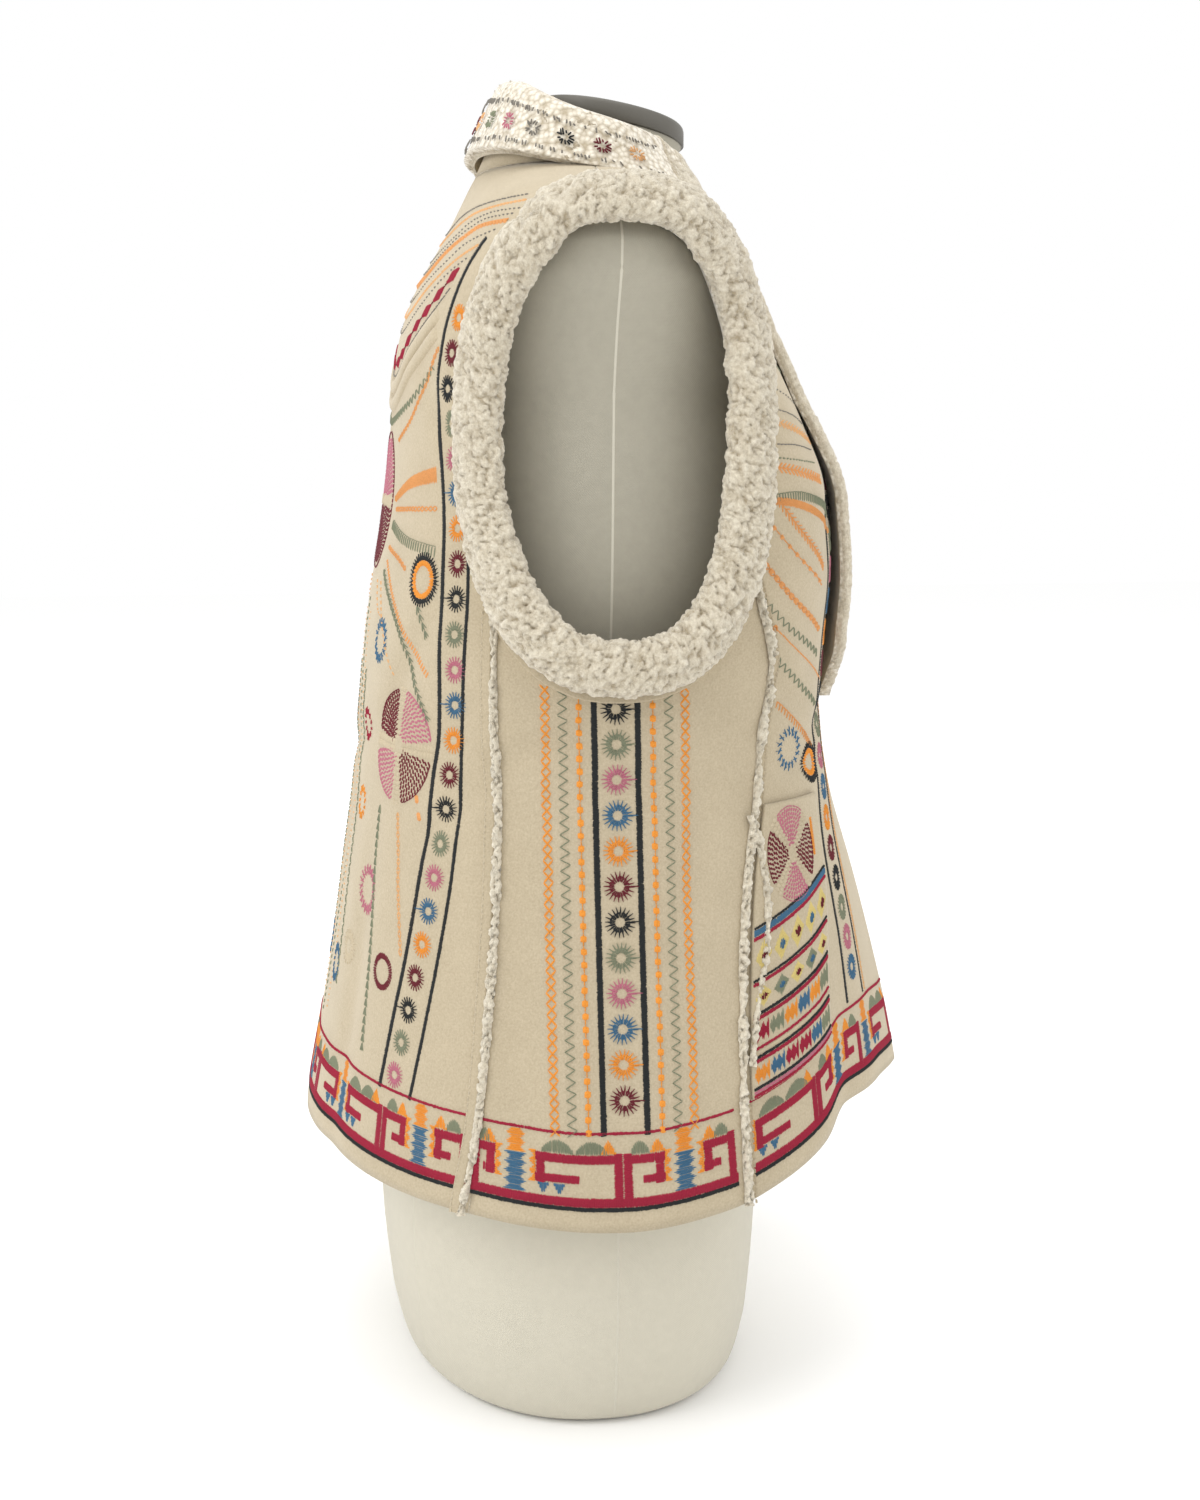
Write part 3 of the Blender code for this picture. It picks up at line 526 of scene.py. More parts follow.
# Linen: a plain weave as two waves at right angles over the cloth's own UV, in metres, the
# cover darker higher up, a painted shade for the form inside the vest and its armholes.
def linenMaterial():
    net, look = Net("form_linen"), linenLook
    uv = net.node("ShaderNodeUVMap", {"uv_map": "cloth"}, {}, "UV")
    parts = net.tree.nodes.new("ShaderNodeSeparateXYZ")
    net.feed(parts.inputs[0], uv)
    across, up = Wire(net, parts.outputs[0]), Wire(net, parts.outputs[1])
    turn = 2 * math.pi * look["threadsPerMetre"] / 2
    weave = (across * turn).math("SINE") * (up * turn).math("SINE")
    slub = net.noise(look["slubScale"], 4.0, 0.7)
    stain = net.noise(look["stainScale"], 3.0, 0.5)
    # Painted shade: the cover darkens upwards across this span of height.
    paintedShadeUp = ((up - look["paintedShadeFrom"]) * (1 / look["paintedShadeSpan"])).clamped()
    shade = (slub * 0.3 + stain * 0.3 + paintedShadeUp * 0.75 - 0.1).clamped()
    colour = net.mix(shade, look["pale"], look["deep"])
    normal = net.bump(weave * 0.5 + slub * 0.6, 0.35, look["weaveDepth"])
    return net.finished(look, colour, normal)


seamLook = {"colour": (0.56, 0.53, 0.44, 1), "roughness": 0.8, "gloss": 0.3}


def seamMaterial():
    return Net("form_seam").finished(seamLook, seamLook["colour"])


capLook = {
    "pale": (0.122, 0.114, 0.095, 1), "deep": (0.088, 0.082, 0.068, 1),
    "speckScale": 700.0, "wornScale": 40.0, "smoothest": 0.42, "wear": 0.25,
}


# Cap: plain grey, its colour and its shine both a little worn.
def capMaterial():
    net, look = Net("cap_grey"), capLook
    speck = net.noise(look["speckScale"], 3.0, 0.6)
    worn = net.noise(look["wornScale"], 3.0, 0.6)
    colour = net.mix((worn * 0.7 + speck * 0.3).clamped(), look["pale"], look["deep"])
    roughness = worn * look["wear"] + look["smoothest"]
    return net.finished({"roughness": roughness}, colour, net.bump(speck, 0.2, 0.0003))


# Sewing threads, by name: the colour of each.
threadColours = {
    "black": (0.008, 0.010, 0.010), "crimson": (0.290, 0.004, 0.028), "burgundy": (0.120, 0.006, 0.014),
    "pink": (0.440, 0.140, 0.190), "blue": (0.042, 0.125, 0.215), "orange": (0.700, 0.250, 0.025),
    "peach": (0.640, 0.350, 0.150), "sage": (0.190, 0.205, 0.130), "yellow": (0.600, 0.480, 0.170),
    "cream": (0.640, 0.560, 0.410), "sand": (0.500, 0.420, 0.290), "amber": (0.620, 0.270, 0.085),
    "ghost": (0.170, 0.155, 0.130),
}


threadLook = {
    "strandScale": 1400.0, "patchScale": 60.0,
    "roughness": 0.62, "sheen": 0.04, "sheenRoughness": 0.35, "gloss": 0.25,
}


# Thread: its own colour, paler and darker along the strand, with a fine twist in the bump.
def threadMaterial(name):
    net, look = Net("thread_" + name), threadLook
    colour = np.array(threadColours[name])
    dark, light = (*(colour * 0.72), 1), (*np.minimum(colour * 1.22 + 0.012, 1), 1)
    strand = net.noise(look["strandScale"], 2.0, 0.6)
    patch = net.noise(look["patchScale"], 2.0, 0.5)
    mixed = net.mix((strand * 0.8 + patch * 0.4 - 0.1).clamped(), dark, light)
    return net.finished(look, mixed, net.bump(strand, 0.4, 0.0003))


materials = {
    "suede": suedeMaterial(), "fleece": fleeceMaterial(), "inside": insideMaterial(),
    "linen": linenMaterial(), "cap": capMaterial(), "seam": seamMaterial(),
}
threads = {name: threadMaterial(name) for name in threadColours}
print("stage: materials made,", len(materials) + len(threads))


def addObject(name, data):
    made = bpy.data.objects.new(name, data)
    bpy.context.scene.collection.objects.link(made)
    return made


# A mesh from points and quads, and triangles where it has them. The points move to the frame here.
def addPiece(name, points, quads, slots, faceSlots=None, attribute=None, uv=None,
             triangles=np.zeros((0, 3), int)):
    corners = np.concatenate([quads.ravel(), triangles.ravel()]).astype(np.int32)
    starts = np.concatenate([np.arange(0, quads.size, 4), quads.size + np.arange(0, triangles.size, 3)])
    mesh = bpy.data.meshes.new(name)
    mesh.vertices.add(len(points))
    mesh.loops.add(len(corners))
    mesh.polygons.add(len(starts))
    mesh.vertices.foreach_set("co", (points + (0, vest["axisY"], 0)).astype(np.float32).ravel())
    mesh.loops.foreach_set("vertex_index", corners)
    mesh.polygons.foreach_set("loop_start", starts.astype(np.int32))
    if faceSlots is not None:
        mesh.polygons.foreach_set("material_index", np.asarray(faceSlots, np.int32))
    mesh.update(calc_edges=True)
    mesh.validate()
    mesh.polygons.foreach_set("use_smooth", np.ones(len(mesh.polygons), bool))
    for material in slots:
        mesh.materials.append(material)
    if attribute is not None:
        stored = mesh.attributes.new("curl", "FLOAT", "POINT")
        stored.data.foreach_set("value", attribute.astype(np.float32).ravel())
    if uv is not None:
        layer = mesh.uv_layers.new(name="cloth")
        layer.data.foreach_set("uv", uv[corners].astype(np.float32).ravel())
    piece = addObject(name, mesh)
    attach(piece, "root")
    return piece


# Faces of a grid of points, open or closed round either way.
def gridFaces(rows, columns, roundRows=False, roundColumns=False, start=0):
    down = np.arange(rows if roundRows else rows - 1)
    across = np.arange(columns if roundColumns else columns - 1)
    i, j = np.meshgrid(down, across, indexing="ij")
    k, n = (i + 1) % rows, (j + 1) % columns
    quads = np.stack([i * columns + j, i * columns + n, k * columns + n, k * columns + j], -1)
    return quads.reshape(-1, 4) + start


def gridNormals(points, roundRows=False, roundColumns=False):
    def slope(axis, around):
        if around:
            return np.roll(points, -1, axis) - np.roll(points, 1, axis)
        return np.gradient(points, axis=axis)
    return unit(np.cross(slope(1, roundColumns), slope(0, roundRows)))


# One grid of points as a piece, its faces turned over where the grid runs the other way.
def addGrid(name, grid, flip, material, attribute=None, closed=(False, False)):
    faces = gridFaces(*grid.shape[:2], *closed)
    faces = faces[:, ::-1] if flip else faces
    return addPiece(name, grid.reshape(-1, 3), faces, [materials[material]], None, attribute)


# Stacked rings with both ends closed by a fan: their points, their quads and their triangles.
def closedRings(rings):
    rows, count = rings.shape[:2]
    around = np.arange(count)
    following = (around + 1) % count
    last = (rows - 1) * count
    foot = np.stack([following, around, around * 0 + rows * count], -1)
    head = np.stack([around + last, following + last, around * 0 + rows * count + 1], -1)
    points = np.concatenate([rings.reshape(-1, 3), rings[:1].mean(1), rings[-1:].mean(1)])
    return points, gridFaces(rows, count, False, True), np.concatenate([foot, head])


# Closed wall between two matching grids: both faces and a rim. The first grid's face is suede,
# the second one and the rim are wool.
def addWall(name, outer, inner, slots, flip, cells=None):
    rows, columns = outer.shape[:2]
    faces = gridFaces(rows, columns)
    keep = np.ones(len(faces), bool) if cells is None else cells.ravel()
    faces = faces[keep]
    back = faces[:, ::-1] + rows * columns
    edges = np.concatenate([faces[:, [k, (k + 1) % 4]] for k in range(4)])
    key = edges[:, 0].astype(np.int64) * rows * columns + edges[:, 1]
    mirror = edges[:, 1].astype(np.int64) * rows * columns + edges[:, 0]
    rim = edges[~np.isin(key, mirror)]
    sides = np.hstack([rim[:, ::-1], rim + rows * columns])
    every = np.concatenate([faces, back, sides])
    slotsOfFaces = np.concatenate([np.zeros(len(faces)), np.ones(len(back) + len(sides))])
    if flip:
        every = every[:, ::-1]
    points = np.concatenate([outer.reshape(-1, 3), inner.reshape(-1, 3)])
    used, every = np.unique(every, return_inverse=True)
    return addPiece(name, points[used], every.reshape(-1, 4), slots, slotsOfFaces)


panels = {
    "rows": 132, "frontCuts": 64, "backCuts": 132, "sideCuts": 44, "sideRows": 76,
    "standCuts": 3, "turnCuts": 8, "fallCuts": 16, "collarCuts": 150,
    "crowding": 0.05, "backGather": 0.3, "sideTop": 0.512, "sideLevel": 0.402,
}


# Row heights, a little closer together over the shoulder where the shell turns in fast.
def rowHeights(top, count):
    share = np.linspace(0, 1, count)
    crowded = share + panels["crowding"] * np.sin(np.pi * share)
    return vest["skirtFoot"] + (top - vest["skirtFoot"]) * crowded


# Folded edge in its own plane: a stand, half a circle and a fall that leans back.
def hairpin(station):
    values = {name: readTable(foldRows, foldColumns, name, station)[:, None] for name in foldColumns[1:]}
    stand, radius, fall, lean = (values[name] for name in ("stand", "radius", "fall", "lean"))
    rise = np.linspace(0, 1, panels["standCuts"] + 1)[None, 1:]
    turn = np.linspace(-quarterTurn, quarterTurn, panels["turnCuts"] + 1)[None, 1:]
    back = np.linspace(0, 1, panels["fallCuts"] + 1)[None, 1:]
    zero = np.zeros_like(stand)
    along = np.hstack([stand * rise, stand + radius * np.cos(turn), stand - fall * back])
    away = np.hstack([zero * rise, radius + radius * np.sin(turn), 2 * radius + lean * fall * back**1.4])
    faceAlong = np.hstack([zero * rise, -np.cos(turn) + zero, lean * back + zero])
    faceAway = np.hstack([zero * rise + 1, -np.sin(turn) + zero, -1 + zero * back])
    bend = panels["standCuts"] + panels["turnCuts"] - 1
    share = np.clip(np.arange(along.shape[1])[None, :] / bend, 0, 1) + zero
    return along, away, faceAlong, faceAway, share


# The fold that grows out of the vest's edge: its suede points, and its wool points a wall away.
def foldedEdge(angle, height, station, sides):
    start = drape(angle, height)
    across = unit(drape(angle - sides * 1e-3, height) - start)
    out = outward(angle, height)
    upward = readTable(foldRows, foldColumns, "upward", station)[:, None]
    inward = readTable(foldRows, foldColumns, "inward", station)[:, None]
    levelOut = unit(out * (1, 1, 0))
    standUp = unit(np.array([0.0, 0.0, 1.0]) - levelOut * inward)
    direction = unit(across * (1 - upward) + standUp * upward)
    out = unit(out * (1 - upward) + levelOut * upward)
    facing = unit(out - direction * (out * direction).sum(-1, keepdims=True))
    along, away, faceAlong, faceAway, share = hairpin(station)
    suede = start[:, None] + along[..., None] * direction[:, None] + away[..., None] * facing[:, None]
    face = unit(faceAlong[..., None] * direction[:, None] + faceAway[..., None] * facing[:, None])
    wall = vest["bodyWall"] + (vest["foldWall"] - vest["bodyWall"]) * share
    return suede, suede - face * wall[..., None]


def frontGrid(side):
    heights = rowHeights(vest["neckHeight"], panels["rows"])
    edge, seam = edgeAngle(heights), frontSideEdge(heights)
    share = np.linspace(0, 1, panels["frontCuts"] + 1)[None, :]
    angle = seam[:, None] + (edge - seam)[:, None] * share
    level = levelHeights(angle, heights[:, None] + 0 * angle)
    suede = drape(side * angle, level)
    wool = lifted(side * angle, level, -vest["bodyWall"] + 0 * angle)
    fold = foldedEdge(side * angle[:, -1], level[:, -1], heights, side)
    foldCuts = panels["standCuts"] + panels["turnCuts"] + panels["fallCuts"]
    cells = np.ones((len(heights) - 1, panels["frontCuts"] + foldCuts), bool)
    cells[heights[1:] < vest["breakHeight"], panels["frontCuts"]:] = False
    return np.hstack([suede, fold[0]]), np.hstack([wool, fold[1]]), cells


def backGrid():
    heights = rowHeights(vest["neckHeight"], panels["rows"])
    seam = backSideEdge(heights)[:, None]
    share = gathered(np.linspace(0, 1, panels["backCuts"] + 1), panels["backGather"])
    angle = seam + (2 * np.pi - 2 * seam) * share[None, :]
    turned = np.where(angle > np.pi, angle - 2 * np.pi, angle)
    level = levelHeights(turned, heights[:, None] + 0 * turned)
    return drape(turned, level), lifted(turned, level, -vest["bodyWall"] + 0 * turned)


def sideGrid(side):
    sideTop, waist = panels["sideTop"], panels["sideLevel"]
    heights = np.linspace(vest["skirtFoot"], sideTop, panels["sideRows"])[:, None]
    share = np.linspace(0, 1, panels["sideCuts"] + 1)[None, :]
    front = seamAt("front", heights) + halfGap(heights)
    back = seamAt("back", heights) - halfGap(heights)
    angle = front + (back - front) * share
    top = np.minimum(armBottom(drape(angle[-1:], sideTop + 0 * angle[-1:])[..., 1]), sideTop)
    upper = waist + (heights - waist) * (top - waist) / (sideTop - waist)
    level = np.where(heights > waist, upper, levelHeights(angle, heights + 0 * angle))
    return drape(side * angle, level), lifted(side * angle, level, -vest["bodyWall"] + 0 * angle)


sidesOfBody = (("right", -1), ("left", 1))
bodySlots = [materials["suede"], materials["inside"]]
pieces = {}


# The same grid of points with more rows and columns, evenly spaced over the cloth.
def denser(points, pitch):
    for axis in (0, 1):
        step = np.linalg.norm(np.diff(points, axis=axis), axis=-1).mean(1 - axis)
        length = np.concatenate([[0], np.cumsum(step)])
        even = np.linspace(0, length[-1], round(length[-1] / pitch) + 1)
        place = np.interp(even, length, np.arange(len(length)))
        low = np.minimum(place.astype(int), len(length) - 2)
        share = (place - low).reshape((-1, 1, 1) if axis == 0 else (1, -1, 1))
        points = np.take(points, low, axis) * (1 - share) + np.take(points, low + 1, axis) * share
    return points


foldFleece = {
    "pitch": 0.00115, "curl": 0.0028, "curlLift": 0.0020, "lump": 0.0085, "lumpLift": 0.0018,
    "sunk": 0.0008, "wrap": 0.35, "fadeRows": 3, "edgeSunk": 0.001,
}
# Each piece of fleece: the seed of its curls, their rise, and the lowest level and the span of its painted
# shade, the collar's set lower so that it is painted darker.
lapelWool = (91, 0.5, (0.22, 0.72))
collarWool = (131, 1.0, (0.0, 0.70))


# Curled fleece over a folded edge's wool side, wrapped round its free edge on to the suede.
def addFleece(name, suede, wool, salt, rise, shadeLevels):
    last = wool[:, -1:] * 0.5 + suede[:, -1:] * 0.5
    wrapped = last + (wool[:, -1:] - wool[:, -2:-1]) * foldFleece["wrap"]
    shell = np.concatenate([wool, wrapped, suede[:, -1:]], 1)
    shell = denser(shell, foldFleece["pitch"])
    rows, columns = shell.shape[:2]
    normal = gridNormals(shell)
    middle = (rows // 2, columns // 3)
    given = wool[len(wool) // 2, wool.shape[1] // 3] - suede[len(wool) // 2, wool.shape[1] // 3]
    flip = (normal[middle] * given).sum() < 0
    normal = -normal if flip else normal
    lift, depth = curled(shell, foldFleece, salt)
    border = np.minimum(np.arange(rows), np.arange(rows)[::-1])[:, None]
    border = np.minimum(border, np.minimum(np.arange(columns), np.arange(columns)[::-1])[None, :])
    fade = np.clip(border / foldFleece["fadeRows"], 0, 1)
    lift = (lift * rise - foldFleece["sunk"]) * fade - foldFleece["edgeSunk"] * (1 - fade)
    # The pile height on each point, scaled by the shade levels, darkens the fleece in its hollows: a painted
    # shade.
    addGrid(name, shell + normal * lift[..., None], flip, "fleece", shadeLevels[0] + shadeLevels[1] * depth)


def addPanels():
    heights = rowHeights(vest["neckHeight"], panels["rows"])
    turned = heights > vest["breakHeight"]
    fold = slice(panels["frontCuts"], None)
    pieces["back"] = addWall("back", *backGrid(), bodySlots, flip=False)
    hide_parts("back_panel")
    for label, side in sidesOfBody:
        outer, inner, cells = frontGrid(side)
        front = addWall("front_" + label, outer, inner, bodySlots, side > 0, cells)
        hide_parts("front_panel_" + label)
        flank = addWall("side_" + label, *sideGrid(side), bodySlots, side < 0)
        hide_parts("side_panel_" + label)
        pieces["front_" + label], pieces["side_" + label] = front, flank
        addFleece("lapel_fleece_" + label, outer[turned, fold], inner[turned, fold], *lapelWool)


addPanels()
print("stage: panels draped")


# Angles, heights and stations round the neck seam, from the left gorge over the back.
def collarLine(count):
    gorge = float(edgeAngle(vest["neckHeight"]))
    gorge = gorge + vest["gorgeGap"] / np.hypot(*drape(gorge, vest["neckHeight"])[:2])
    share = np.linspace(-1, 1, count)
    angle = np.pi + share * (np.pi - gorge)
    angle = np.where(angle > np.pi, angle - 2 * np.pi, angle)
    station = foldRows[-1, 0] - (foldRows[-1, 0] - vest["neckHeight"]) * np.abs(share)
    return angle, np.full_like(angle, vest["neckHeight"]), station


def addCollar():
    angle, height, station = collarLine(panels["collarCuts"] + 1)
    suede, wool = foldedEdge(angle, height, station, np.sign(angle))
    foot = drape(angle, height)
    footIn = foot - unit(outward(angle, height) * (1, 1, 0)) * vest["bodyWall"]
    lift = (0, 0, vest["seamGap"])
    suede = np.concatenate([foot[:, None], suede], 1) + lift
    wool = np.concatenate([footIn[:, None], wool], 1) + lift
    pieces["collar"] = addWall("collar_wall", suede, wool, bodySlots, flip=False)
    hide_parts("collar")
    addFleece("collar_fleece", suede[:, 1:], wool[:, 1:], *collarWool)
    return suede, wool


collarFaces = addCollar()


# Centre line of the armhole roll: a squared oval seen from the side, laid on the shell.
def armholeLine(turn):
    power = 2 / armhole["square"]
    y = armhole["centreY"] + armhole["halfDepth"] * signedPower(np.cos(turn), power)
    z = armhole["centreZ"] + armhole["halfHeight"] * signedPower(np.sin(turn), power)
    return angleAtY(y, z), z


def evenTurns(count):
    turn = np.linspace(0, 2 * np.pi, 2401)
    length = runLength(drape(*armholeLine(turn)))
    return np.interp(np.linspace(0, length[-1], count, endpoint=False), length, turn)


rollSizes = {
    "rings": 600, "sides": 78, "curl": 0.0027, "curlLift": 0.0024, "lump": 0.0080, "lumpLift": 0.0022,
    "sunk": 0.0012, "salt": 11, "smooth": 3,
}


# Roll of turned-out fleece: ovals carried round the armhole, their points lifted by curls.
def addArmholeRolls():
    angle, height = armholeLine(evenTurns(rollSizes["rings"]))
    turn = np.linspace(0, 2 * np.pi, rollSizes["sides"], endpoint=False)
    smooth, sunk = rollSizes["smooth"], rollSizes["sunk"]
    for label, side in sidesOfBody:
        out = outward(side * angle, height)
        centre = lifted(side * angle, height, armhole["rollHeight"] + armhole["rollGap"] + 0 * angle)
        ahead = unit(np.roll(centre, -smooth, 0) - np.roll(centre, smooth, 0))
        aside = unit(np.cross(ahead, out))
        out = unit(np.cross(aside, ahead))
        across = (armhole["rollWidth"] - sunk) * np.cos(turn)[None, :, None]
        above = (armhole["rollHeight"] - sunk) * np.sin(turn)[None, :, None]
        rings = centre[:, None] + aside[:, None] * across + out[:, None] * above
        normal = gridNormals(rings, True, True)
        face = rings - centre[:, None]
        normal = normal * np.sign((normal * face).sum(-1, keepdims=True))
        # How high each point lies in the pile is stored for the fleece's painted shade, darker in the
        # hollows of the curls.
        lift, depth = curled(rings, rollSizes, rollSizes["salt"])
        rings = rings + normal * (lift - sunk)[..., None]
        roll = addGrid("armhole_" + label, rings, side > 0, "fleece", depth, (True, True))
        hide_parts("armhole_roll_" + label)


addArmholeRolls()
print("stage: armhole rolls curled")


# Embroidery. A place is an angle without its sign and a height, so one design serves both sides
# of the body. A stitch is a row: both ends, the width at each end and the height of its ridge.
needle = {
    "ridge": 0.0007, "sunk": 0.00018, "shake": 0.00010, "pitch": 0.00095, "point": 0.3,
}
stitchShares = np.array([0.0, 0.16, 0.84, 1.0])
sewn = {}


def sew(region, colour, *groups):
    sewn.setdefault((region, colour), []).extend(groups)


def at(degrees, height):
    return np.array([math.radians(degrees), height])


def route(*corners):
    return np.array([at(*corner) for corner in corners])


def onCloth(places):
    return drape(-places[..., 0], places[..., 1])


# Metres of cloth for each radian round the body and each metre of height.
def stretch(places):
    small = 1e-3
    rates = [np.linalg.norm(onCloth(places + step) - onCloth(places - step), axis=-1) / (2 * small)
             for step in (np.array([small, 0]), np.array([0, small]))]
    return np.stack(rates, -1)


def shift(places, steps):
    places = np.asarray(places, float)
    return places + np.asarray(steps, float) / stretch(places)


def lengthAlong(places):
    return runLength(onCloth(places))


# Even places along a smooth line through the corners of a route.
def spaced(places, pitch):
    length = lengthAlong(places)
    rows = np.column_stack([length, places])
    even = np.linspace(0, length[-1], max(2, round(length[-1] / pitch) + 1))
    return np.stack([readTable(rows, ("length", "angle", "height"), name, even)
                     for name in ("angle", "height")], -1)


def beside(line, offset):
    ahead = unit(np.gradient(line, axis=0) * stretch(line))
    across = np.stack([-ahead[:, 1], ahead[:, 0]], -1)
    return shift(line, across * (np.asarray(offset, float) + np.zeros(len(line)))[:, None])


def stitches(first, second, width, endWidth=None, ridge=None):
    first, second = np.broadcast_arrays(first, second)
    rows = np.empty((first.size // 2, 7))
    rows[:, :2], rows[:, 2:4] = first.reshape(-1, 2), second.reshape(-1, 2)
    rows[:, 4], rows[:, 5] = width, width if endWidth is None else endWidth
    rows[:, 6] = ridge or needle["ridge"]
    return rows


# Satin: stitches side by side across a route, whose width may change along it.
def satin(places, width, pitch=needle["pitch"], fill=1.6, ridge=None):
    line = spaced(places, pitch)
    half = np.interp(np.linspace(0, 1, len(line)), np.linspace(0, 1, np.size(width)), np.ravel(width)) / 2
    left, right = beside(line, half), beside(line, -half)
    return stitches(left, right, pitch * fill, ridge=ridge)


# Stitches laid end to end along a route; a fill under 1 leaves gaps between them.
def cord(places, width, length=0.0028, fill=1.0, ridge=None):
    line = spaced(places, length)
    return stitches(line[:-1], line[:-1] + (line[1:] - line[:-1]) * fill, width, ridge=ridge)


def zigzag(places, amplitude, pitch, width):
    line = spaced(places, pitch / 2)
    line = beside(line, np.where(np.arange(len(line)) % 2, 0.5, -0.5) * amplitude)
    return stitches(line[:-1], line[1:], width)


def crosses(places, across, pitch, width):
    line = spaced(places, pitch)
    left, right = beside(line, across / 2), beside(line, -across / 2)
    first, second = np.concatenate([left[:-1], right[:-1]]), np.concatenate([right[1:], left[1:]])
    return stitches(first, second, width)


# Teeth standing on one side of a cord.
def blanket(places, tooth, pitch, width):
    line = spaced(places, pitch)
    return np.concatenate([stitches(line[:-1], line[1:], width), stitches(line, beside(line, tooth), width)])


# Stem with slanting leaves on both sides.
def fern(places, across, pitch, width):
    line = spaced(places, pitch)
    left, right = beside(line, across / 2), beside(line, -across / 2)
    return np.concatenate([stitches(line[:-1], line[1:], width), stitches(line[:-1], left[1:], width),
                           stitches(line[:-1], right[1:], width)])


# Chain: each link two stitches that bow apart and meet again.
def chain(places, across, pitch, width):
    line = spaced(places, pitch)
    middle = (line[:-1] + line[1:]) / 2
    left, right = beside(middle, across / 2), beside(middle, -across / 2)
    first, second = line[:-1], line[1:]
    return stitches(np.concatenate([first, left, first, right]),
                    np.concatenate([left, second, right, second]), width)


def circle(radius, count, start=0.0):
    turn = np.linspace(0, 2 * np.pi, count, endpoint=False) + start
    return np.stack([np.cos(turn), np.sin(turn)], -1) * radius


# Spokes of thread from one circle to another, close enough to cover the cloth.
def ring(centre, inner, outer, count, fill=1.15, ridge=None):
    near, far = fill * 2 * np.pi * inner / count, fill * 2 * np.pi * outer / count
    first, second = shift(centre, circle(inner, count)), shift(centre, circle(outer, count))
    return stitches(first, second, near, far, ridge)


# Single pointed stitches that stand off a circle.
def spikes(centre, inner, outer, count, width, start=0.0):
    first, second = (shift(centre, circle(radius, count, start)) for radius in (inner, outer))
    return stitches(first, second, width, width * needle["point"])


rosetteSizes = {
    "eye": 0.0025, "ring": 0.0055, "spokes": 24, "spikeFrom": 0.0046, "spikeTo": 0.0084,
    "spikes": 20, "spikeWidth": 0.0013, "spikeTurn": 0.07, "linkFrom": 0.005, "linkWidth": 0.0008,
}


def rosette(region, colour, centre, size):
    sizes = rosetteSizes
    sew(region, colour, ring(centre, sizes["eye"] * size, sizes["ring"] * size, sizes["spokes"]),
        spikes(centre, sizes["spikeFrom"] * size, sizes["spikeTo"] * size, sizes["spikes"],
               sizes["spikeWidth"] * size, sizes["spikeTurn"]))


# The one stitch that joins a rosette to the line beside it.
def link(region, colour, centre, sign, places):
    start = shift(centre, [(sign * rosetteSizes["linkFrom"], 0.0)])
    sew(region, colour, stitches(start, places, rosetteSizes["linkWidth"]))


# Seed stitches over a sector of a disc, in circles a seed apart.
def seeds(centre, inner, outer, fromDegrees, toDegrees, length=0.0026, gap=0.0023, squeeze=1.0):
    rows = []
    low, high = math.radians(fromDegrees), math.radians(toDegrees)
    for place, radius in enumerate(np.arange(inner, outer, gap)):
        count = max(1, round((high - low) * radius / (length * 1.12)))
        turn = low + (high - low) * (np.arange(count) + 0.5 + 0.25 * (place % 2)) / (count + 0.25)
        spot = np.stack([np.cos(turn), np.sin(turn)], -1) * radius
        lean = np.stack([1.1 * np.cos(turn) - np.sin(turn), 1.1 * np.sin(turn) + np.cos(turn)], -1)
        lean = lean * length * 0.33
        first, second = (spot - lean) * (squeeze, 1), (spot + lean) * (squeeze, 1)
        rows.append(stitches(shift(centre, first), shift(centre, second), gap * 0.72))
    return np.concatenate(rows)


def arc(centre, radius, fromDegrees, toDegrees, count=24, squeeze=1.0):
    turn = np.radians(np.linspace(fromDegrees, toDegrees, count))
    return shift(centre, np.stack([np.cos(turn) * squeeze, np.sin(turn)], -1) * radius)


discSizes = {
    "hub": 0.22, "gap": 0.6, "gapAt": 0.72, "seedGap": 0.75, "rim": 0.0009, "barFrom": 0.16,
    "barStrands": (-0.25, 0.25), "strandWide": 0.47, "pitch": 0.0026, "fill": 0.92, "ridge": 0.0010,
}


# Disc in four seeded quarters, parted by cross bars of basket work. Degrees turn from the back.
def quarteredDisc(region, centre, radius, colours, bar, turned=0, squeeze=1.0):
    sizes = discSizes
    edge = math.degrees(math.asin(bar * sizes["gap"] / (radius * sizes["gapAt"])))
    inset = edge * sizes["seedGap"]
    for place, colour in enumerate(colours):
        low = turned + 90 * place
        high = low + 90
        sew(region, colour,
            seeds(centre, radius * sizes["hub"], radius, low + inset, high - inset, squeeze=squeeze),
            cord(arc(centre, radius, low + edge, high - edge, squeeze=squeeze), sizes["rim"]))
        across = np.radians(low)
        ends = np.stack([np.cos(across), np.sin(across)]) * radius
        for offset in sizes["barStrands"]:
            aside = np.array([-np.sin(across), np.cos(across)]) * bar * offset
            line = shift(centre, np.array([ends * sizes["barFrom"] + aside, ends + aside]) * (squeeze, 1))
            strand = satin(line, bar * sizes["strandWide"], sizes["pitch"], sizes["fill"], sizes["ridge"])
            sew(region, "sand", strand)


starSizes = {
    "pitch": 0.0042, "spikeFrom": 0.62, "spikeTo": 1.14, "spikeWide": 0.0010,
    "crossFrom": 0.72, "crossTurns": (0.20, -0.16), "crossWide": 0.0009,
}


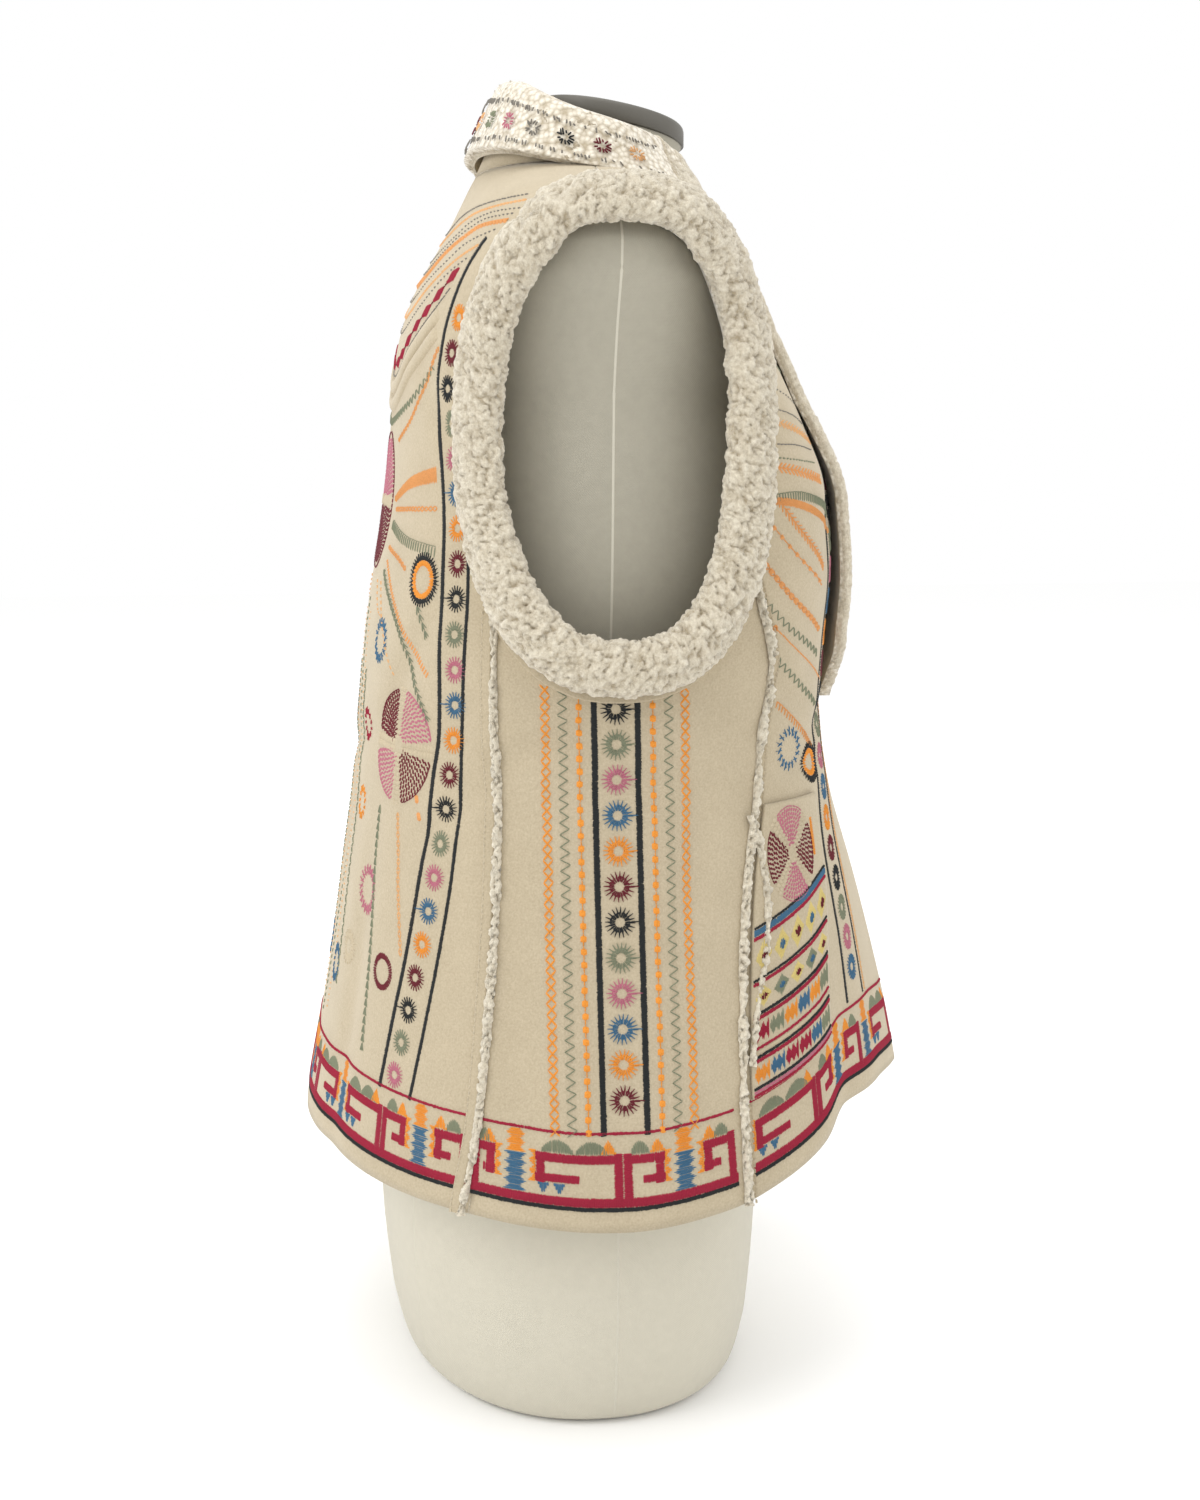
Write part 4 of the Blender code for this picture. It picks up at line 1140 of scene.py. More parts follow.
# Ring of short crossing spokes, open in the middle.
def starRing(region, colour, centre, radius):
    sizes = starSizes
    count = int(2 * np.pi * radius / sizes["pitch"])
    first = shift(centre, circle(radius * sizes["crossFrom"], count, sizes["crossTurns"][0]))
    second = shift(centre, circle(radius, count, sizes["crossTurns"][1]))
    sew(region, colour,
        spikes(centre, radius * sizes["spikeFrom"], radius * sizes["spikeTo"], count, sizes["spikeWide"]),
        stitches(first, second, sizes["crossWide"]))


# Lines of stitching from a table: a thread, each kind of stitch with its sizes, and the corners of
# the route that they follow, as an angle and a height.
def sewLines(region, lines):
    for colour, kinds, *corners in lines:
        for stitch, *sizes in kinds:
            sew(region, colour, stitch(route(*corners), *sizes))


trimSizes = {
    "halfWidth": 0.0024, "height": 0.0032, "drop": 0.0015, "clearance": 0.0165,
    "pitch": 0.0011, "sides": 14, "curl": 0.0028, "curlLift": 0.0022, "tuft": 0.0130,
    "thin": 0.62, "tuftFull": 0.55, "core": 0.0005, "footSunk": 0.0003, "shadeFloor": 0.3,
}


def trimHeights(seam):
    low = float(hemHeight(seamAt(seam, 0.150))) - trimSizes["drop"]
    heights = np.linspace(low, 0.5, 60)
    angle = seamAt(seam, heights)
    roll = drape(*armholeLine(np.linspace(0, 2 * np.pi, 160)))
    reach = np.linalg.norm(drape(angle, heights)[:, None] - roll[None], axis=-1).min(1)
    top = heights[np.argmax(reach < trimSizes["clearance"])]
    return np.linspace(low, top, 240)


# Raw wool edge left standing along a line: half an oval carried up it, ragged from curl to curl
# and fuller wherever a tuft has come through.
def woolTrim(name, line, side, size=1.0, lift=0.0):
    sizes = trimSizes
    line = spaced(line, sizes["pitch"])
    angle, heights = side * line[:, 0], line[:, 1]
    turn = np.linspace(0, np.pi, sizes["sides"])[None, :]
    out = outward(angle, heights)
    foot = lifted(angle, heights, lift + 0 * angle)
    aside = unit(np.cross(unit(np.gradient(foot, axis=0)), out))
    full = (sizes["thin"] + sizes["tuftFull"] * curlHeight(foot, sizes["tuft"], 71))[:, None]
    across = size * sizes["halfWidth"] * full * np.cos(turn)
    above = size * sizes["height"] * full * np.sin(turn)
    rings = foot[:, None] + aside[:, None] * across[..., None] + out[:, None] * above[..., None]
    curl = curlHeight(rings, sizes["curl"], 51)
    swell = unit(rings - foot[:, None] + out[:, None] * sizes["core"])
    rise = (curl - 0.50) * 2 * sizes["curlLift"] * full * np.sin(turn) ** 0.3
    rise = np.where(np.sin(turn) < 0.05, -sizes["footSunk"], rise)
    # Painted shade: the trim darker in the hollows between its curls, though never darker than its floor
    # level.
    depth = sizes["shadeFloor"] + (1 - sizes["shadeFloor"]) * curl
    return addGrid(name, rings + swell * rise[..., None], side < 0, "fleece", depth)


stripSizes = {"pitch": 0.004, "cuts": 11, "taperRows": 2, "sunk": 0.0003}


# Narrow suede strip along a line: a low arch across it, flat on top or round by its power, that
# tapers away at both ends.
def suedeStrip(name, line, side, width, thick, power=8.0):
    share = np.linspace(-1, 1, stripSizes["cuts"])
    places = np.stack([beside(line, offset) for offset in share * width / 2], 1)
    fromEnd = np.minimum(np.arange(len(line)), np.arange(len(line))[::-1])
    ends = np.sqrt(np.clip(fromEnd / stripSizes["taperRows"], 0, 1))[:, None]
    lifts = ends * thick * (1 - np.abs(share) ** power)[None, :] ** (1 / power) - stripSizes["sunk"]
    points = lifted(side * places[..., 0], places[..., 1], lifts)
    return addGrid(name, points, side > 0, "suede")


# Beside the side seams: how far each line lies from its seam, towards the back where minus.
seamSizes = {
    "backTrim": 0.0010, "strip": -0.0048, "stripWide": 0.0070, "stripThick": 0.0012,
    "sand": 0.0050, "cream": -0.0072,
}


def addSeamTrims():
    for seam in ("front", "back"):
        heights = trimHeights(seam)
        line = np.stack([seamAt(seam, heights), heights], -1)
        line = beside(line, seamSizes["backTrim"]) if seam == "back" else line
        strip = spaced(beside(line, seamSizes["strip"]), stripSizes["pitch"])
        for label, side in sidesOfBody:
            trim = woolTrim("seam_trim_wool_" + seam + "_" + label, line, side)
            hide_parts("seam_trim_" + seam + "_" + label)
            if seam == "back":
                suedeStrip("seam_strip_" + label, strip, side, seamSizes["stripWide"],
                           seamSizes["stripThick"])
        if seam == "front":
            sew("seam", "sand", cord(beside(line, seamSizes["sand"]), 0.0008, 0.0032, 0.80, 0.0012))
    sew("seam", "cream", cord(beside(line, seamSizes["cream"]), 0.0007, 0.0032, 0.72, 0.0016))


addSeamTrims()


edgeSizes = {"points": 200, "clear": 0.0015, "wide": 0.0056, "thick": 0.0022}


# The cut edge of each roll's skin, just clear of its curls all round the armhole. Its line starts
# and ends at the top, and lies on the side of the roll's middle that makes it longer.
def addArmholeEdges():
    hole = np.stack(armholeLine(evenTurns(edgeSizes["points"])), -1)
    hole = np.roll(hole, -int(np.argmax(hole[:, 1])), axis=0)
    hole = np.concatenate([hole, hole[:1]])
    reach = armhole["rollWidth"] + edgeSizes["clear"]
    if lengthAlong(beside(hole, reach))[-1] < lengthAlong(hole)[-1]:
        reach = -reach
    line = spaced(beside(hole, reach), stripSizes["pitch"])
    for label, side in sidesOfBody:
        suedeStrip("armhole_edge_" + label, line, side, edgeSizes["wide"], edgeSizes["thick"])


addArmholeEdges()


pocket = {
    "top": 0.358, "overHem": 0.0515, "wall": 0.0018, "gap": 0.0008, "seamInset": 0.0045,
    "rows": 60, "cuts": 40, "footLevel": 0.21, "trimSize": 0.8,
}
pocketTrim = route((67.4, 0.354), (65.8, 0.338), (64.9, 0.310), (66.3, 0.280), (69.0, 0.250),
                   (70.8, 0.222))
pocketColumns = ("height", "innerAngle")
pocketRows = np.array([(0.200, 52.5), (0.240, 51.5), (0.314, 47.5), (0.358, 48.5)])


def pocketAngles(heights, share):
    outerSide = seamAt("front", heights) - pocket["seamInset"] / shellAt("halfWidth", heights)
    innerSide = np.radians(readTable(pocketRows, pocketColumns, "innerAngle", heights))
    return outerSide + (innerSide - outerSide) * share


def pocketFoot(angle):
    return hemHeight(angle) + pocket["overHem"]


def addPockets():
    rise = np.linspace(0, 1, pocket["rows"])[:, None]
    share = np.linspace(0, 1, pocket["cuts"])[None, :]
    foot = pocketFoot(pocketAngles(pocket["footLevel"] + 0 * rise, share))
    level = foot + (pocket["top"] - foot) * rise
    angle = pocketAngles(level, share)
    for label, side in sidesOfBody:
        outer = lifted(side * angle, level, pocket["gap"] + pocket["wall"] + 0 * angle)
        inner = lifted(side * angle, level, pocket["gap"] + 0 * angle)
        piece = addWall("patch_pocket_" + label, outer, inner, [materials["suede"]] * 2, side > 0)
        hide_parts("pocket_" + label)
        woolTrim("pocket_trim_wool_" + label, pocketTrim, side, pocket["trimSize"], pocket["wall"])
        pieces["pocket_" + label] = piece


addPockets()
print("stage: collar, trims and pockets set")


rosetteColours = ("black", "sage", "pink", "blue", "orange", "burgundy")
# The column of rosettes down each side panel: where each of its lines lies beside its middle.
column = {
    "angle": 91.0, "low": 0.1935, "bend": 0.30, "high": 0.4260, "top": 0.4130, "pitch": 0.0184,
    "count": 12, "size": 1.0, "black": 0.0115, "dots": 0.0195, "zigzag": 0.0280, "crosses": 0.0370,
}


def sewSideColumn():
    for number in range(column["count"]):
        centre = at(column["angle"], column["top"] - column["pitch"] * number)
        colour = rosetteColours[number % 6]
        rosette("side", colour, centre, column["size"])
        link("side", colour, centre, -1, shift(centre, [(-column["black"], 0)]))
    line = spaced(route(*((column["angle"], column[end]) for end in ("low", "bend", "high"))), 0.004)
    for sign in (-1, 1):
        dots, edge = beside(line, sign * column["dots"]), beside(line, sign * column["crosses"])
        sew("side", "black", satin(beside(line, sign * column["black"]), 0.0035))
        sew("side", "orange", cord(dots, 0.0037, 0.0068, 0.52, 0.0012), cord(dots, 0.0007, 0.0034),
            crosses(edge, 0.0050, 0.0058, 0.0013))
        sew("side", "sage", zigzag(beside(line, sign * column["zigzag"]), 0.0053, 0.0063, 0.0008))
        sew("side", "amber", zigzag(edge, 0.0056, 0.0116, 0.0009))


# The column down the back bends in at the waist. Its two black lines are given height by height,
# and its rosettes hang beside the one nearer the back's centre.
backLines = {
    "centreward": route((116.9, 0.654), (120.9, 0.642), (124.6, 0.626), (128.0, 0.605), (130.5, 0.572),
                        (127.5, 0.532), (125.9, 0.492), (125.5, 0.452), (124.7, 0.396), (125.7, 0.375),
                        (126.7, 0.344), (128.0, 0.317), (130.2, 0.275), (132.7, 0.236), (134.6, 0.2015)),
    "sideward": route((119.6, 0.512), (118.9, 0.468), (119.3, 0.423), (119.2, 0.372), (120.2, 0.325),
                      (122.0, 0.284), (124.4, 0.240), (126.6, 0.2010)),
}
backColumn = {"pitch": 0.0190, "skipped": 2, "aside": -0.0112, "size": 0.88, "firstColour": 4}


def sewBackColumn():
    sew("back", "black", satin(backLines["centreward"], 0.0031), satin(backLines["sideward"], 0.0024))
    line = spaced(backLines["centreward"], backColumn["pitch"])
    middles = ((line[:-1] + line[1:]) / 2)[backColumn["skipped"]:]
    for number, centre in enumerate(shift(middles, [(backColumn["aside"], 0.0)])):
        colour = rosetteColours[(number + backColumn["firstColour"]) % 6]
        rosette("back", colour, centre, backColumn["size"])
        if number % 3 == 2:
            link("back", colour, centre, 1, middles[number])


frontStrip = {
    "middle": route((31.0, 0.580), (33.5, 0.500), (34.6, 0.450), (36.5, 0.405), (39.5, 0.365),
                    (40.6, 0.330), (39.6, 0.297), (38.9, 0.270), (39.0, 0.2345)),
    "half": 0.0130, "blackWidths": ((-1, 0.0018), (1, 0.0026)), "ladder": -0.0185,
    "pitch": 0.0178, "size": 0.92, "firstColour": 3,
}


def sewFrontStrip():
    line = spaced(frontStrip["middle"], 0.004)
    for sign, width in frontStrip["blackWidths"]:
        sew("front", "black", satin(beside(line, sign * frontStrip["half"]), width))
    ladder = beside(line[10:], frontStrip["ladder"])
    sew("front", "peach", satin(ladder, 0.0026, pitch=0.0031, fill=0.35),
        cord(beside(ladder, 0.0014), 0.0006, 0.0031))
    for number, centre in enumerate(spaced(frontStrip["middle"], frontStrip["pitch"])[1:-1]):
        colour = rosetteColours[(number + frontStrip["firstColour"]) % 6]
        rosette("front", colour, centre, frontStrip["size"])


# Hem band: each panel's stretch of the hem, and its row of figures as a kind and a width.
band = {
    "top": 0.0505, "base": 0.0152, "under": 0.0118, "bar": 0.0050, "upper": 0.0372, "inner": 0.0268,
    "wideFrom": 0.034, "clear": 0.0022, "scallop": 0.0070, "flame": 0.0062, "flameRoot": 0.0015,
    "tooth": 0.0030, "toothRoot": 0.0012, "teeth": 3, "point": 0.0062, "pointPitch": 0.0085,
    "lines": (("crimson", "top", 0.0016), ("crimson", "base", 0.0052), ("black", "under", 0.0024)),
}
bandPanels = (
    (114.9, 180.0, (("hookAway", 23), ("tree", 17), ("hookBack", 23), ("hookAway", 46), ("tree", 17),
                    ("hookBack", 46), ("hookAway", 23), ("halfTree", 8.5))),
    (114.2, 74.2, (("hookAway", 15), ("tree", 17), ("hookBack", 46), ("hookAway", 23), ("tree", 17),
                   ("hookBack", 20))),
    (71.2, 19.9, (("hookBack", 46), ("hookAway", 21), ("tree", 16), ("hookBack", 21), ("tree", 16),
                  ("hookBack", 46))),
)


def stripMap(startDegrees, endDegrees, lowEdge):
    angle = np.radians(np.linspace(startDegrees, endDegrees, 240))
    length = lengthAlong(np.stack([angle, lowEdge(angle) + 0.03], -1))

    def place(points):
        points = np.asarray(points, float)
        angles = np.interp(points[..., 0], length, angle)
        return np.stack([angles, lowEdge(angles) + points[..., 1]], -1)
    return place, length[-1]


# Satin bar between two points of a strip, its stitches across it.
def bar(place, first, second, width, ridge=None):
    first, second = np.array(first, float), np.array(second, float)
    long = np.linalg.norm(second - first)
    across = np.array([first[1] - second[1], second[0] - first[0]]) / long * width / 2
    line = first + (second - first) * np.linspace(0, 1, max(2, round(long / needle["pitch"])))[:, None]
    return stitches(place(line + across), place(line - across), needle["pitch"] * 1.6, ridge=ridge)


# Stitches from a lower line to an upper one, both given as functions of the way along.
def upright(place, x0, x1, low, high, pitch=needle["pitch"], ridge=None):
    x = np.linspace(x0, x1, max(2, round(abs(x1 - x0) / pitch) + 1))
    share = np.linspace(0, 1, len(x))
    ends = [np.stack([x, values(share) + 0 * x], -1) for values in (low, high)]
    return stitches(place(ends[0]), place(ends[1]), abs(x[1] - x[0]) * 1.25, ridge=ridge)


# The same from a left line to a right one, both given as functions of the way up.
def level(place, y0, y1, left, right):
    y = np.linspace(y0, y1, max(2, round(abs(y1 - y0) / needle["pitch"]) + 1))
    share = np.linspace(0, 1, len(y))
    ends = [np.stack([values(share) + 0 * y, y], -1) for values in (left, right)]
    return stitches(place(ends[0]), place(ends[1]), abs(y[1] - y[0]) * 1.25)


def teeth(share, count):
    return np.abs((share * count) % 1 * 2 - 1)


# A square hook that curls back on its post, with its scallops, flame and saw teeth.
def sewHook(place, start, width, away):
    def x(share):
        return start + (share if away else width - share)
    half, top, low = band["bar"] / 2, band["upper"], band["inner"]
    wide = width > band["wideFrom"]
    reach = width - band["clear"] - half
    inner = (width - 0.010) * (0.52 if wide else 0.60)
    sew("band", "crimson", bar(place, (x(half), band["base"]), (x(half), top + half), band["bar"]),
        bar(place, (x(half), top), (x(reach + half), top), band["bar"]),
        bar(place, (x(reach), top), (x(reach), low - half), band["bar"]),
        bar(place, (x(reach + half), low), (x(reach - inner), low), band["bar"] * 0.9))
    roof = top + half
    room = (width - 0.012) / 2 if wide else width * 0.42
    for number in range(2 if wide else 1):
        begin = x(reach - room * number) if wide else x(0.004)
        end = x(reach - room * (number + 1) + 0.0006) if wide else x(0.004 + room)
        sew("band", "sage", upright(place, begin, end, lambda t: roof,
                                    lambda t: roof + band["scallop"] * np.sin(np.pi * t) ** 0.6))
    begin, end = (x(0.004), x(0.0115)) if wide else (x(reach - 0.0045), x(reach + half))
    root, outer = roof + band["flameRoot"], reach + half
    sew("band", "orange",
        upright(place, begin, end, lambda t: roof,
                lambda t: root + band["flame"] * (1 - np.abs(2 * t - 1)) ** 0.8),
        level(place, low - half, roof, lambda t: x(outer),
              lambda t: x(outer + band["toothRoot"] + band["tooth"] * teeth(t, band["teeth"]))))
    if wide:
        for number in range(2):
            begin = x(outer - 0.0005 - band["pointPitch"] * number)
            end = x(outer - 0.0075 - band["pointPitch"] * number)
            sew("band", "blue", upright(place, begin, end, lambda t: low - half,
                                        lambda t: low - half - band["point"] * (1 - np.abs(2 * t - 1))))


# A tree of two toothed blocks, blue under orange, or its first half at the back's centre.
def sewTree(place, start, width, halfOnly):
    middle = start + (width if halfOnly else width / 2)

    def wing(size, count, sign):
        reach = 0 if halfOnly and sign > 0 else sign * size
        return lambda t: middle + reach * (0.50 + 0.50 * teeth(t, count))
    sew("band", "blue", level(place, 0.0182, 0.0368, wing(0.0062, 4.0, -1), wing(0.0062, 4.0, 1)))
    sew("band", "orange", level(place, 0.0380, 0.0490, wing(0.0056, 2.5, -1), wing(0.0056, 2.5, 1)))


def sewHemBand():
    for startDegrees, endDegrees, figures in bandPanels:
        place, long = stripMap(startDegrees, endDegrees, hemHeight)
        for colour, height, width in band["lines"]:
            sew("band", colour, bar(place, (0, band[height]), (long, band[height]), width))
        scale = long / sum(width for kind, width in figures)
        start = 0.0
        for kind, width in figures:
            if kind in ("tree", "halfTree"):
                sewTree(place, start, width * scale, kind == "halfTree")
            else:
                sewHook(place, start, width * scale, kind == "hookAway")
            start += width * scale


# An orange ring inside a spiked black one.
def doubleRing(region, centre, black, points, orange, ridge):
    sew(region, "black", ring(centre, *black), spikes(centre, *points))
    sew(region, "orange", ring(centre, *orange, ridge=ridge))


backFigures = (
    ("amber", ((satin, (0.0040, 0.0070, 0.0090), 0.0021, 0.75, 0.0012),),
     (154.5, 0.519), (142.0, 0.5285), (130.0, 0.533)),
    ("amber", ((chain, 0.0028, 0.0042, 0.0010),), (153.5, 0.513), (129.0, 0.515)),
    ("amber", ((satin, (0.0026, 0.0040), 0.0024, 0.62),), (155.5, 0.484), (142.0, 0.456), (128.6, 0.427)),
    ("amber", ((chain, 0.0028, 0.0042, 0.0009),), (156.0, 0.492), (145.0, 0.486), (140.5, 0.481)),
    ("amber", ((cord, 0.0036, 0.0085, 0.50, 0.0012),), (130.4, 0.362), (128.6, 0.344)),
    ("sage", ((blanket, 0.0060, 0.0030, 0.0005),), (154.5, 0.507), (142.0, 0.499), (128.6, 0.4950)),
    ("sage", ((fern, 0.0044, 0.0046, 0.0005),),
     (158.1, 0.479), (140.0, 0.448), (133.0, 0.423), (127.6, 0.402)),
    ("sage", ((fern, 0.0044, 0.0046, 0.0005),), (133.5, 0.463), (129.6, 0.446)),
    ("sage", ((fern, 0.0040, 0.0050, 0.0005),),
     (145.1, 0.350), (145.5, 0.330), (143.0, 0.272), (142.1, 0.214)),
    ("sage", ((zigzag, 0.0042, 0.0060, 0.0006),), (168.0, 0.420), (166.0, 0.330), (164.0, 0.235)),
    ("sage", ((cord, 0.0008, 0.0040, 0.6),), (180.0, 0.460), (180.0, 0.205)),
    ("peach", ((cord, 0.0009, 0.0046, 0.6),), (160.2, 0.472), (148.0, 0.438), (141.2, 0.422)),
    ("peach", ((cord, 0.0009, 0.0046, 0.6),), (166.6, 0.472), (158.0, 0.455), (152.5, 0.452)),
    ("peach", ((chain, 0.0026, 0.0050, 0.0008),), (136.2, 0.350), (134.0, 0.310), (131.6, 0.274)),
    ("peach", ((satin, 0.0026, 0.0036, 0.3),), (172.0, 0.452), (171.5, 0.330), (172.0, 0.215)),
)
# Small rings on the back: thread, angle, height and radius.
backStars = (("blue", 152.1, 0.440, 0.0118), ("pink", 148.6, 0.300, 0.0130), ("blue", 168.0, 0.245, 0.0105),
             ("crimson", 160.5, 0.390, 0.0090), ("orange", 159.5, 0.345, 0.0090))


# The back: a quartered disc at its centre whose rays fan out to the column, and smaller figures.
def sewBack():
    sun = at(180.0, 0.517)
    sew("back", "pink", seeds(sun, 0.006, 0.038, 97, 173))
    sew("back", "burgundy", seeds(sun, 0.006, 0.038, 270, 353), cord(arc(sun, 0.040, 92, 268, 40), 0.0012))
    beam = shift(sun, [(-0.037, 0.0), (-0.006, 0.0)])
    sew("back", "sand", satin(beam, 0.0075, 0.0036, 0.9, 0.001))
    sewLines("back", backFigures)
    doubleRing("back", at(132.4, 0.477), (0.0104, 0.0132, 44), (0.0122, 0.0152, 40, 0.0013),
               (0.0074, 0.0106, 26), 0.0012)
    for colour, degrees, height, radius in backStars:
        starRing("back", colour, at(degrees, height), radius)
    sew("back", "burgundy", ring(at(137.2, 0.262), 0.0068, 0.0104, 40))
    pale = at(157.0, 0.262)
    sew("back", "sand", ring(pale, 0.0040, 0.0085, 18, 0.9), spikes(pale, 0.0080, 0.0105, 18, 0.001))
    quarteredDisc("back", at(137.6, 0.386), 0.0310, ("burgundy", "pink", "burgundy", "pink"), 0.0078)


# Arcs from shoulder to shoulder above the diamonds, from the top one down, and two lines that
# run below them.
seedArc = ((cord, 0.0011, 0.0042, 0.40),)
peachArc = ((cord, 0.0019, 0.0034, 0.85, 0.0009),)
yokeArcs = (
    ("ghost", ((cord, 0.0008, 0.0030, 0.85),),
     (108.0, 0.676), (126.0, 0.676), (148.0, 0.674), (165.0, 0.671), (180.0, 0.670)),
    ("peach", peachArc, (108.0, 0.6725), (126.0, 0.672), (141.0, 0.669), (157.0, 0.666), (180.0, 0.6645)),
    ("ghost", seedArc,
     (109.0, 0.6680), (117.0, 0.6690), (128.0, 0.6670), (140.0, 0.661), (160.0, 0.656), (180.0, 0.654)),
    ("ghost", seedArc,
     (110.5, 0.6655), (118.4, 0.6660), (130.0, 0.6620), (145.0, 0.6545), (162.0, 0.649), (180.0, 0.647)),
    ("amber", ((cord, 0.0036, 0.0036, 0.85, 0.0013),),
     (111.6, 0.6620), (119.1, 0.6625), (128.5, 0.658), (138.5, 0.653), (160.0, 0.643), (180.0, 0.640)),
    ("ghost", seedArc,
     (114.5, 0.6580), (124.6, 0.654), (136.0, 0.646), (150.0, 0.639), (165.0, 0.633), (180.0, 0.631)),
    ("peach", peachArc,
     (119.0, 0.6510), (128.0, 0.6455), (140.0, 0.637), (152.0, 0.630), (166.0, 0.624), (180.0, 0.622)),
    ("ghost", seedArc,
     (122.5, 0.6450), (131.0, 0.6385), (142.0, 0.629), (153.0, 0.622), (167.0, 0.615), (180.0, 0.613)),
    ("sage", ((zigzag, 0.0046, 0.0060, 0.0006),),
     (132.0, 0.590), (146.0, 0.573), (168.0, 0.564), (180.0, 0.5620)),
    ("amber", ((chain, 0.0026, 0.0042, 0.0008),),
     (129.8, 0.600), (137.0, 0.580), (146.0, 0.562), (158.0, 0.551)),
)
yoke = {
    "diamonds": route((125.0, 0.6400), (135.1, 0.6255), (150.0, 0.6110), (162.6, 0.6000), (172.0, 0.5960),
                      (180.0, 0.5950)),
    "pitch": 0.0010, "diamondLong": 0.0130, "diamondGap": 0.0045, "diamondHigh": 0.0072,
    "diamondPoint": 0.0015, "lineDrop": 0.0066,
    "ridgeFrom": np.radians(130.5), "ridgePitch": 0.003, "ridgeWide": 0.0088, "ridgeThick": 0.0022,
    "ridgeDrops": (0.0125, 0.0225),
}


# The yoke: its arcs, and below them a row of satin diamonds on a line, with a finer line under it.
def sewYoke():
    sewLines("back", yokeArcs)
    line = spaced(yoke["diamonds"], yoke["pitch"])
    step = round((yoke["diamondLong"] + yoke["diamondGap"]) / yoke["pitch"])
    long = round(yoke["diamondLong"] / yoke["pitch"])
    widths = (yoke["diamondPoint"], yoke["diamondHigh"], yoke["diamondPoint"])
    for start in range(0, len(line) - long, step):
        sew("back", "crimson", satin(line[start:start + long], widths, fill=1.4, ridge=0.0010))
    sew("back", "ghost", cord(line[6:] - (0, yoke["lineDrop"]), 0.0007, 0.0030))
    sew("back", "burgundy", cord(line, 0.0008, 0.0030))


# Two padded ridges of suede under the yoke's diamonds, from one column to the other.
def addYokeRidges():
    for number, drop in enumerate(yoke["ridgeDrops"]):
        line = spaced(yoke["diamonds"] - (0, drop), yoke["ridgePitch"])
        line = line[line[:, 0] > yoke["ridgeFrom"]]
        line = np.concatenate([line, (line[-2::-1] * (-1, 1)) + (2 * np.pi, 0)])
        suedeStrip("yoke_ridge_" + str(number), line, 1, yoke["ridgeWide"], yoke["ridgeThick"], 2.0)


# A round knot of spokes where a line starts.
def startKnot(places, inner, outer, count):
    return ring(places[0], inner, outer, count)


# The front's lines run slantwise from the strip of rosettes to the armhole and the side seam.
frontFigures = (
    ("amber", ((fern, 0.0058, 0.0034, 0.0014),), (59.0, 0.537), (55.9, 0.536), (43.0, 0.530)),
    ("amber", ((satin, (0.0046, 0.0046, 0.0032), needle["pitch"], 1.1),),
     (60.2, 0.5195), (56.5, 0.5185), (49.0, 0.514), (36.0, 0.501)),
    ("amber", ((fern, 0.0056, 0.0036, 0.0010), (cord, 0.0009, 0.0030)),
     (59.4, 0.520), (54.8, 0.507), (42.8, 0.482)),
    ("amber", ((cord, 0.0030, 0.0078, 0.30, 0.0014), (cord, 0.0008, 0.0034)),
     (60.8, 0.506), (54.4, 0.490), (44.0, 0.472)),
    ("amber", ((cord, 0.0036, 0.0050, 0.62, 0.0015), (chain, 0.0036, 0.0050, 0.0009)),
     (62.9, 0.487), (56.0, 0.468), (43.5, 0.447)),
    ("amber", ((cord, 0.0012, 0.0034), (startKnot, 0.0001, 0.0019, 10)),
     (60.1, 0.452), (53.2, 0.438), (39.5, 0.418)),
    ("amber", ((blanket, 0.0040, 0.0030, 0.0007),), (59.0, 0.412), (45.0, 0.384)),
    ("peach", ((fern, 0.0050, 0.0040, 0.0011),), (57.6, 0.561), (47.9, 0.556), (41.0, 0.551)),
    ("peach", ((cord, 0.0030, 0.0034),), (56.8, 0.589), (55.2, 0.587)),
    ("peach", ((chain, 0.0028, 0.0045, 0.0008),), (60.0, 0.610), (40.0, 0.600)),
    ("ghost", ((cord, 0.0011, 0.0044, 0.42),), (56.5, 0.579), (42.0, 0.571)),
    ("ghost", ((cord, 0.0008, 0.0034, 0.8),), (57.0, 0.5675), (49.0, 0.5645), (42.0, 0.560)),
    ("ghost", ((cord, 0.0009, 0.0034),), (58.6, 0.549), (54.6, 0.549), (43.0, 0.546)),
    ("sage", ((cord, 0.0012, 0.0030, 0.62),), (58.5, 0.542), (43.9, 0.539)),
    ("sage", ((blanket, 0.0046, 0.0022, 0.0007),),
     (59.9, 0.523), (54.5, 0.524), (46.8, 0.521), (36.0, 0.513)),
    ("sage", ((zigzag, 0.0046, 0.0058, 0.0008),), (62.9, 0.467), (56.1, 0.451), (44.1, 0.434)),
    ("sage", ((zigzag, 0.0046, 0.0058, 0.0008),), (59.0, 0.434), (51.9, 0.419), (43.0, 0.405)),
    ("sage", ((cord, 0.0010, 0.0040, 0.6),), (60.0, 0.597), (38.0, 0.586)),
    ("orange", ((satin, (0.0022, 0.0030)),), (52.6, 0.346), (52.2, 0.332)),
    ("black", ((cord, 0.0007, 0.0024),),
     (52.5, 0.3482), (53.7, 0.3390), (52.3, 0.3298), (51.0, 0.3390), (52.5, 0.3482)),
)


def sewFront():
    sewLines("front", frontFigures)
    starRing("front", "blue", at(55.6, 0.385), 0.0112)
    doubleRing("front", at(47.0, 0.374), (0.0078, 0.0100, 34), (0.0092, 0.0118, 32, 0.0012),
               (0.0048, 0.0078, 20), 0.0011)


